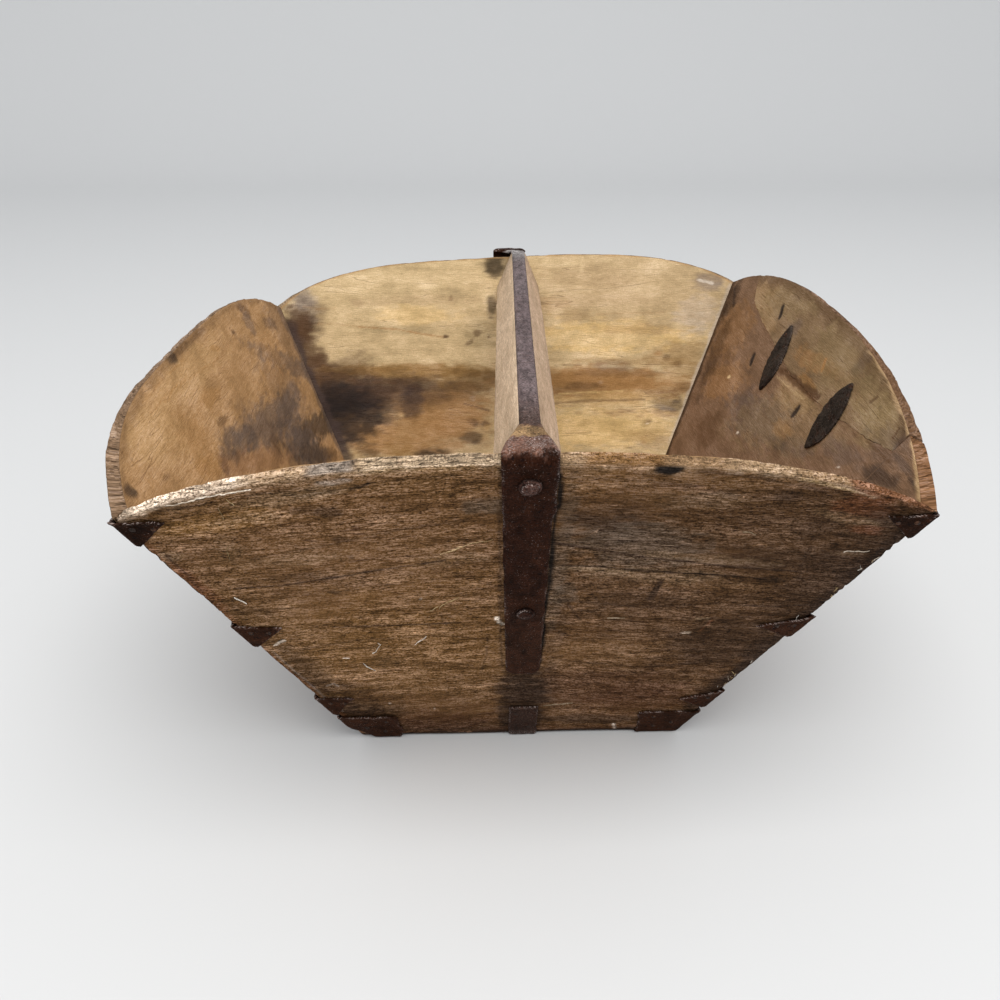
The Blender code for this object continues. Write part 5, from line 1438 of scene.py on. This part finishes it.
def folded_sheet(corner, kind, away_of, height_of, seed, material,
                 flange=0, curl=0.0005, shine=0.5, tone=1.4):
    """Sheet iron folded round a corner. away_of and height_of give each point's distance from the
    fold and its height; a flange turns the last rows under the box."""
    first, second = CORNERS[corner]
    across = np.linspace(-1, 1, 41)[None, :]
    down = np.linspace(0, 1, 22)[:, None]
    far = np.abs(across)
    away = far * away_of(down, across)
    height = height_of(down, across) + 0 * away
    on_first = (across < 0)[..., None]
    own = np.where(on_first, first.out, second.out)
    beyond = np.where(on_first, second.out, first.out)
    ruffled = blend(0.16, 0, down) * (0.6 + 0.8 * rugged(across * 2.3, seed, seed))
    lift = np.maximum(curl * (ruffled + 0.5 * blend(0.85, 1, far)), 0)
    pitted = np.abs(rugged(away * 160, height * 160, seed + 3))
    thick = SHEET_THICKNESS * (0.9 - 0.1 * pitted)
    back = corner_points(corner, height, GAP + lift) - beyond * away[..., None]
    front = corner_points(corner, height, GAP + lift + thick)
    front = front - beyond * (away + (thick + lift) * far)[..., None]
    pull = 0.4 * FOLD_SOFTNESS * np.clip(1 - away / FOLD_SOFTNESS, 0, 1) ** 2
    front = front - (first.out + second.out) * pull[..., None] / math.sqrt(2)

    if flange:
        share = np.linspace(0, 1, 8)[1:, None]
        edge = away[-1][None, :]
        inward = edge + (np.maximum(edge, flange) - edge) * share
        deep = share * flange

        def turned_under(out):
            start = corner_points(corner, -GAP - out, GAP + out)
            return start - beyond * (inward + out)[..., None] - own * (deep + out)[..., None]

        back = np.concatenate([back, turned_under(0)])
        front = np.concatenate([front, turned_under(SHEET_THICKNESS)])
        away = np.concatenate([away, inward])
        height = np.concatenate([height, -deep + 0 * inward])
        down = np.concatenate([down, 1 + share])
    if corner == "front_left":
        back, front = worn_foot(back, WOOD_BOTTOM - GAP), worn_foot(front, 0)
    front[..., 2] = np.maximum(front[..., 2], 0)

    signed = away * np.sign(across)
    place = np.stack([signed, height, np.full(signed.shape, seed * 0.31)], -1)
    noise = rugged(signed * 190, height * 190, seed + 5)
    colour = np.array((0.0215, 0.008, 0.0038)) * tone * (1 + 0.35 * noise)[..., None]
    # The top edge is painted bright: rubbed bare, and a painted highlight along the sheet's upper edge.
    top_edge = blend(0.055, 0, down) * (0.6 + 0.9 * noise)
    ends = blend(0.94, 1, far) * (0.15 + 0.5 * noise)
    fold = blend(0.0014, 0, away) * (0.35 + 0.4 * noise)
    rubbed = np.maximum(np.maximum(top_edge, ends), fold) * shine * 2
    plate(f"{corner}_{kind}_sheet", f"{corner}_{kind}_iron", back, front,
          place, colour, wear_of(rubbed, 0.55 + 0.5 * noise), material, 0.3)


def triangle_iron(corner, kind, material, seed, length, drop, top, hang, **look):
    """A sheet that tapers down to a point on the fold; its ends may hang."""
    def away_of(down, across):
        taper = length + (0.0016 - length) * down
        return taper * (1 + 0.05 * rugged(down * 3.1, np.sign(across), seed))

    def height_of(down, across):
        ragged = 0.0007 * (1 + rugged(across * 5, 0.5, seed)) * (1 - down)
        return top - drop * (down + hang * np.abs(across) * (1 - down)) - ragged

    folded_sheet(corner, kind, away_of, height_of, seed, material, **look)


def foot_iron(corner, material, seed, size):
    """A sheet round the foot of a corner, turned under the box."""
    def away_of(down, across):
        taper = 0.0395 - 0.0115 * down
        uneven = 1 + 0.04 * rugged(down * 5, np.sign(across), seed)
        return taper * size * uneven

    def height_of(down, across):
        ragged = 0.0006 * (1 + rugged(across * 6, 0.5, seed)) * (1 - down)
        return FOOT_HEIGHT - (FOOT_HEIGHT + GAP) * down - ragged

    folded_sheet(corner, "foot", away_of, height_of, seed, material,
                 flange=FOOT_FLANGE, curl=0.0007, shine=0.7)


def build_corner_irons(material):
    for number, (corner, shares) in enumerate(IRON_SHARES.items()):
        size, mid_hang, low_hang, foot_size = shares
        seed = 11 + number * 7
        triangle_iron(corner, "rim", material, seed, 0.027 * size, 0.018 * size,
                      CORNER_HEIGHTS[corner] - RIM_INSET, 0, tone=0.7)
        triangle_iron(corner, "middle", material, seed + 1, 0.028 * size, 0.0205 * size,
                      MIDDLE_LEVEL, mid_hang)
        triangle_iron(corner, "low", material, seed + 2, 0.0245 * size, 0.0215 * size,
                      LOW_LEVEL, low_hang, shine=0.75)
        foot_iron(corner, material, 51 + number, foot_size)


def build_mending_plates(material):
    """Pointed oval iron plates across the crack, inside the right end."""
    half_length, half_width = PLATE_LENGTH / 2, PLATE_WIDTH / 2
    radius = (half_length ** 2 + half_width ** 2) / (2 * half_width)
    up = np.linspace(-1, 1, 61)[:, None]
    across = np.linspace(-1, 1, 17)[None, :]
    for name, middle, lean, seed in PLATES:
        width = np.sqrt(radius ** 2 - (up * half_length) ** 2) - (radius - half_width)
        nibbled = np.abs(rugged(up * 6, np.sign(across) * 1.5, seed))
        width = width * (1 - 0.13 * nibbled) + 0.0002
        x, y = across * width, up * half_length + 0 * across
        turn = -math.atan2(lean, PLATE_LENGTH)
        along = middle + x * math.cos(turn) - y * math.sin(turn)
        slant = PLATE_LEVEL + x * math.sin(turn) + y * math.cos(turn)
        dented = 0.12 * np.abs(rugged(x * 200, y * 200, seed + 2))
        crowned = 1 - 0.3 * np.abs(across) ** 3 - dented
        back = RIGHT.points(along, slant, BOARD_THICKNESS + GAP)
        front = RIGHT.points(along, slant, BOARD_THICKNESS + GAP + PLATE_THICKNESS * crowned)
        noise = rugged(x * 150, y * 150, seed + 4)
        place = np.stack([x, y, np.full(x.shape, seed * 0.1)], -1)
        colour = np.array((0.034, 0.026, 0.021)) * (1 + 0.45 * noise)[..., None]
        rubbed = blend(0.82, 1, np.abs(across)) * (0.1 + 0.2 * noise)
        plate(f"{name}_plate_iron", f"{name}_mending_plate", back, front,
              place, colour, wear_of(rubbed, 0.3 + 0.4 * noise), material, 0.35)


# A rivet head from its crown to its foot: shares of its radius and of its height
RIVET_HEIGHT = 0.0026
RIVET_RINGS = np.array((
    (0.02, 1), (0.18, 0.985), (0.34, 0.93), (0.48, 0.82), (0.56, 0.72), (0.62, 0.62),
    (0.7, 0.6), (0.78, 0.56), (0.87, 0.45), (0.95, 0.28), (1, 0.1), (0.99, -0.3),
))
# Rivets of a strap: name, drop below the leg's top, head's width, share of its bright ring (rubbed, with a
# painted highlight to the upper left), colour
RIVETS = (
    ("upper", 0.0165, 0.0118, 0.6, (0.062, 0.03, 0.023)),
    ("lower", 0.115, 0.011, 0.8, (0.026, 0.0105, 0.007)),
)


def rivet_head(side, label, leg_offset, rivet, material):
    """A domed head with grooves and a bright ring round its crown: rubbed, with a painted highlight to the
    upper left.
    """
    kind, drop, head, ring, tone = rivet
    seed = len(label) + drop * 1000
    offset = leg_offset + (LEG_FOOT_OFFSET - leg_offset) * drop / LEG_DROP
    if kind == "upper":
        offset = (offset + bar_centre(side.out[1] * side.across(leg_top(side)))) / 2
    turns = np.linspace(0, 2 * math.pi, 37)[:-1]
    radius = RIVET_RINGS[:, :1] * head / 2
    lift = RIVET_RINGS[:, 1:] * RIVET_HEIGHT
    uneven = smooth_noise(np.cos(turns) * 2.1, np.sin(turns) * 2.1, seed)
    radius = radius * (0.965 + 0.035 * uneven)
    x, y = radius * np.cos(turns), radius * np.sin(turns)
    lift = lift * (1 - 0.1 * np.abs(rugged(x * 420, y * 420, seed + 1)))
    points = side.points(offset * side.along[0] + x, (leg_top(side) - drop) * side.slope + y,
                         -GAP - STRAP_THICKNESS - lift)
    noise = rugged(x * 300, y * 300, seed + 2)
    share = radius / (head / 2)
    to_right = x * side.along[0]
    groove = bump_at(share, 0.74, 0.07) + blend(0.86, 0.97, share)
    groove = groove + bump_at(share, 0.36, 0.06) * blend(0.3, -0.5, to_right / (head / 2))
    colour = np.array(tone) * (1 + 0.4 * noise)[..., None]
    colour = colour * (1 - 0.85 * np.clip(groove, 0, 1))[..., None]
    # Painted highlight: the bright ring is strongest on the upper left.
    painted_highlight_side = blend(0, 0.8, (y - to_right) / (head / 2))
    rubbed = bump_at(share, ring, 0.07) * (0.15 + 1.1 * painted_highlight_side) + 0.25 * noise
    ring_piece(f"{label}_{kind}_rivet_head", f"{label}_{kind}_rivet", "strap_iron", points,
               material, np.stack([x, y, lift + seed * 0.01], -1), colour,
               wear_of(rubbed, 0.4 + 0.4 * noise), sharp=60)


def build_rivets(material):
    for side, label, leg_offset in ((FRONT, "front", FRONT_LEG_OFFSET), (BACK, "back", BACK_LEG_OFFSET)):
        for rivet in RIVETS:
            rivet_head(side, label, leg_offset, rivet, material)


# Base

BASE_THICKNESS, BASE_SEAM_PLACE = 0.012, 0.021


def build_base_board(material):
    """The bottom of the box: one worn board between the sides, with a seam across it."""
    xs = np.linspace(-1, 1, 121)[:, None]
    rows = np.concatenate([np.linspace(-1, 1, 121), np.linspace(1, -1, 61)])[None, :]
    top = (np.arange(rows.size) < 121)[None, :]
    height = np.where(top, BASE_THICKNESS, 0) + 0 * xs
    half_x, half_y = (side.across(height) - (BOARD_THICKNESS + GAP) * side.slope for side in (RIGHT, FRONT))
    x, y = xs * half_x, rows * half_y
    edge = np.maximum(np.abs(xs), np.abs(rows))
    seam = np.abs(y - BASE_SEAM_PLACE - 0.001 * smooth_noise(x * 30, 0, 43)) / 0.0009
    uneven = 0.00025 * (1 + rugged(x * 24, y * 60, 41)) + 0.0007 * blend(0.985, 1, edge)
    uneven += 0.0004 * np.clip(1 - seam, 0, 1)
    z = WOOD_BOTTOM + np.where(top, height - uneven, uneven)
    place = np.stack([x, y, np.where(top, 6.3, 7.9) + 0 * x], -1)

    clouds = rugged(x * 18, y * 30, 45)
    stain = blend(0.2, 0.9, rugged(x * 11, y * 13, 47))
    colour = np.array((0.27, 0.165, 0.088)) * (1 + 0.18 * clouds)[..., None]
    colour = colour + (np.array((0.1, 0.058, 0.034)) - colour) * (0.65 * stain)[..., None]
    colour = colour * (1 - 0.65 * blend(0.86, 1, edge + 0.05 * clouds))[..., None]
    colour = np.where(top[..., None], colour, colour * 0.45)
    ring_piece("base_board_wood", "base_board", "base_wood", np.stack([x, y, z], -1),
               material, place, colour, wear_of(np.full(x.shape, 0.5), np.full(x.shape, 0.8)))


# Nails

NAIL_HEAD_SIZE, NAIL_HEAD_HEIGHT, NAIL_SEED = 0.0031, 0.0007, 5
NAIL_HEAD_RINGS = ((0.06, 1), (0.3, 0.92), (0.45, 0.62), (0.5, 0.2), (0.46, -0.6))


def nail_tree(material, head):
    """Nodes that set a small worn nail head on each point, square to the point's own lean."""
    tree = bpy.data.node_groups.new("nail_heads", "GeometryNodeTree")
    tree.is_modifier = True
    face = tree.interface
    face.new_socket("Points", in_out="INPUT", socket_type="NodeSocketGeometry")
    for label, kind, value in (("Head Size", "Float", 0.003), ("Head Height", "Float", 0.0008),
                               ("Seed", "Int", 3)):
        socket = face.new_socket(label, in_out="INPUT", socket_type="NodeSocket" + kind)
        socket.default_value = value
    face.new_socket("Nails", in_out="OUTPUT", socket_type="NodeSocketGeometry")

    nails = Nodes(tree)
    given = nails.add("NodeGroupInput")
    lean, size = (nails.add("GeometryNodeInputNamedAttribute", {"Name": label}, data_type=kind)["Attribute"]
                  for label, kind in (("lean", "FLOAT_VECTOR"), ("size", "FLOAT")))
    spin = nails.add("FunctionNodeRandomValue", {
        "Min": (-0.14, -0.14, 0), "Max": (0.14, 0.14, 6.28), "Seed": given["Seed"],
    }, data_type="FLOAT_VECTOR")[0]
    aligned = nails.add("FunctionNodeAlignRotationToVector", {"Vector": lean}, axis="Z")[0]
    turned = nails.add("FunctionNodeRotateRotation", {0: aligned, 1: spin}, rotation_space="LOCAL")[0]
    vary = nails.add("FunctionNodeRandomValue", {2: 0.85, 3: 1.15, "Seed": given["Seed"]},
                     data_type="FLOAT")[1]
    width = nails.times(nails.times(given["Head Size"], size), vary)
    tall = nails.times(given["Head Height"], size)
    scale = nails.add("ShaderNodeCombineXYZ", {"X": width, "Y": width, "Z": tall})[0]
    placed = nails.add("GeometryNodeInstanceOnPoints", {
        "Points": given["Points"], "Rotation": turned, "Scale": scale,
        "Instance": nails.add("GeometryNodeObjectInfo", {"Object": head})["Geometry"],
    })[0]
    real = nails.add("GeometryNodeRealizeInstances", {"Geometry": placed})[0]
    painted = nails.add("GeometryNodeSetMaterial", {"Geometry": real, "Material": material})[0]
    nails.add("NodeGroupOutput", {"Nails": painted})
    return tree


def nail_head_shape(material):
    """A flattened, slightly three-sided hammered head, one unit across and one high."""
    turns = np.linspace(0, 2 * math.pi, 10)[:-1]
    points = []
    for radius, height in NAIL_HEAD_RINGS:
        for turn in turns:
            lobed = 1 + 0.06 * math.sin(3 * turn + 1)
            points.append((radius * math.cos(turn) * lobed, radius * math.sin(turn), height))
    faces = ring_faces(len(NAIL_HEAD_RINGS), len(turns))
    return mesh_object("nail_head_shape", points, faces, material, sharp=70)


def corner_iron_nails():
    """Nails in each wing of the corner irons: place, lean and size."""
    nails = []
    for corner, (size, mid_hang, low_hang, foot_size) in IRON_SHARES.items():
        first, second = CORNERS[corner]
        spots = []
        for away in (8.5, 18.5):
            spots += [
                (away, CORNER_HEIGHTS[corner] - RIM_INSET - 0.0052, 1),
                (away * 0.98, MIDDLE_LEVEL - 0.006 - mid_hang * 0.0045, 0.9),
                (away * 0.86, LOW_LEVEL - 0.0062 - low_hang * 0.0042, 0.9),
            ]
        spots += [
            (26.5 * foot_size + 3, 0.0195, 1), (13 * foot_size, 0.012, 1), (22.5 * foot_size, 0.0075, 0.9),
        ]
        for away, height, big in spots:
            edge = corner_points(corner, height, GAP + SHEET_THICKNESS * 0.86)
            for own, beyond in ((first, second), (second, first)):
                nails.append((edge - beyond.out * away * size / 1000, own.normal, big))
    return nails


def face_nails(side, spots, depth, turn=1):
    """Nails on a board's face, from places in millimetres; turn is -1 for its inner face."""
    return [(side.points(along / 1000, slant / 1000, depth), side.normal * turn, big)
            for along, slant, big in spots]


def nail_places():
    nails = corner_iron_nails()
    for side, mirror in ((FRONT, -1), (BACK, 1)):
        nails += face_nails(side, ((2.6 * mirror, 30, 0.9), (-6.4 * mirror, 12, 0.9)),
                            -GAP - SHEET_THICKNESS * 0.8)
    for _, middle, lean, _ in PLATES:
        spots = [(middle * 1000 + lean / PLATE_LENGTH * up, PLATE_LEVEL * 1000 + up, 0.75)
                 for up in (-17.5, 17.5)]
        nails += face_nails(RIGHT, spots, BOARD_THICKNESS + GAP + 0.0014, -1)
    return nails


def build_nails(material):
    """All nail heads as one piece, made with Geometry Nodes on a cloud of guide points."""
    head = nail_head_shape(material)
    places, leans, sizes = zip(*nail_places())
    mesh = bpy.data.meshes.new("nail_places")
    mesh.from_pydata([tuple(place) for place in places], [], [])
    lean = mesh.attributes.new("lean", "FLOAT_VECTOR", "POINT")
    lean.data.foreach_set("vector", np.array(leans, np.float32).ravel())
    size = mesh.attributes.new("size", "FLOAT", "POINT")
    size.data.foreach_set("value", np.array(sizes, np.float32))
    guide = linked("nail_places", mesh)
    modifier = guide.modifiers.new("nails", "NODES")
    modifier.node_group = nail_tree(material, head)
    values = {"Head Size": NAIL_HEAD_SIZE, "Head Height": NAIL_HEAD_HEIGHT, "Seed": NAIL_SEED}
    for socket in modifier.node_group.interface.items_tree:
        if socket.in_out == "INPUT" and socket.name in values:
            modifier[socket.identifier] = values[socket.name]
    bpy.context.view_layer.update()
    depsgraph = bpy.context.evaluated_depsgraph_get()
    made = bpy.data.meshes.new_from_object(guide.evaluated_get(depsgraph))
    guide.modifiers.clear()
    for extra in (guide, head):
        bpy.data.objects.remove(extra)
    made.shade_smooth()
    nails = linked("small_nails", made)
    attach(nails, "root")


# Room and camera

def build_room():
    """A plain pale floor that curves up behind, soft light from all round and one wide lamp."""
    profile = [(-3, 0), (2.2, 0)]
    for turn in np.linspace(0.15, math.pi / 2, 12):
        profile.append((2.2 + 0.9 * math.sin(turn), 0.9 - 0.9 * math.cos(turn)))
    profile.append((3.1, 4))
    points = [(x, y, z) for x in (-4, 4) for y, z in profile]
    count = len(profile)
    faces = [(i, i + count, i + 1 + count, i + 1) for i in range(count - 1)]
    pale = Finish("pale_floor").shade((0.66, 0.665, 0.67, 1), 0.9, 0.1)
    floor = mesh_object("floor", points, faces, pale, sharp=80)

    world = bpy.data.worlds.new("soft_room")
    bpy.context.scene.world = world
    world.use_nodes = True
    background = world.node_tree.nodes["Background"].inputs
    background["Color"].default_value = (0.97, 0.985, 1, 1)
    background["Strength"].default_value = 0.8

    lamp = bpy.data.lights.new("wide_lamp", "AREA")
    lamp.shape, lamp.size, lamp.size_y, lamp.energy = "RECTANGLE", 2.2, 1.8, 48
    lamp.color = (1, 0.985, 0.96)
    place = Vector((0.1, -1.1, 2.2))
    aim = (Vector((0, 0, 0.1)) - place).to_track_quat("-Z", "Y")
    linked("wide_lamp", lamp).matrix_world = Matrix.Translation(place) @ aim.to_matrix().to_4x4()


def build_camera():
    """The photograph's view."""
    pitch, yaw, roll = (math.radians(a) for a in (26.6358, 1.7317, -0.0274))
    ahead = math.cos(pitch)
    forward = Vector((math.sin(yaw) * ahead, math.cos(yaw) * ahead, -math.sin(pitch)))
    level = Vector((math.cos(yaw), -math.sin(yaw), 0))
    upright = level.cross(forward)
    right = level * math.cos(roll) + upright * math.sin(roll)
    up = upright * math.cos(roll) - level * math.sin(roll)
    camera = bpy.data.cameras.new("camera")
    camera.lens, camera.sensor_width, camera.clip_start = 34.7812, 36, 0.01
    holder = linked("camera", camera)
    turn = Matrix((right, up, -forward)).transposed().to_4x4()
    holder.matrix_world = Matrix.Translation((-0.02774, -0.61565, 0.43113)) @ turn
    bpy.context.scene.camera = holder


def main():
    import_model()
    cad_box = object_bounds()
    bpy.context.scene.view_settings.view_transform = "Standard"
    build_room()
    build_camera()
    # Name, smooth, dry, patchy, crack, scratch, pitting and roughness
    wood = wood_material("dark_dry_wood", 0.22, 1.38, 1.3, 0.9, 0.8, 0.25, 0.8)
    soft_wood = wood_material("honey_inside_wood", 0.2, 1, 1.25, 0.4, 0.15, 0.12, 0.72)
    bar_wood = wood_material("rubbed_handle_wood", 0.3, 0.8, 0.35, 0.35, 0.25, 0.08, 0.62)
    base_wood = wood_material("stained_base_wood", 0.3, 0.8, 1, 0.6, 0.3, 0.2, 0.8)
    # Name, rust, gloss and pits
    forged = iron_material("oxblood_forged_iron", 0.15, 0.5, 0.55)
    sheet = iron_material("rusted_sheet_iron", 0.35, 0.6, 0.7)
    nail_iron = nail_material("dark_nail_iron")
    build_boards(wood, soft_wood)
    build_fibres(wood)
    build_handle_bar(bar_wood)
    build_handle_straps(forged, np.array(cad_box))
    build_base_strap(forged)
    build_corner_irons(sheet)
    build_mending_plates(sheet)
    build_rivets(forged)
    build_base_board(base_wood)
    build_nails(nail_iron)


main()
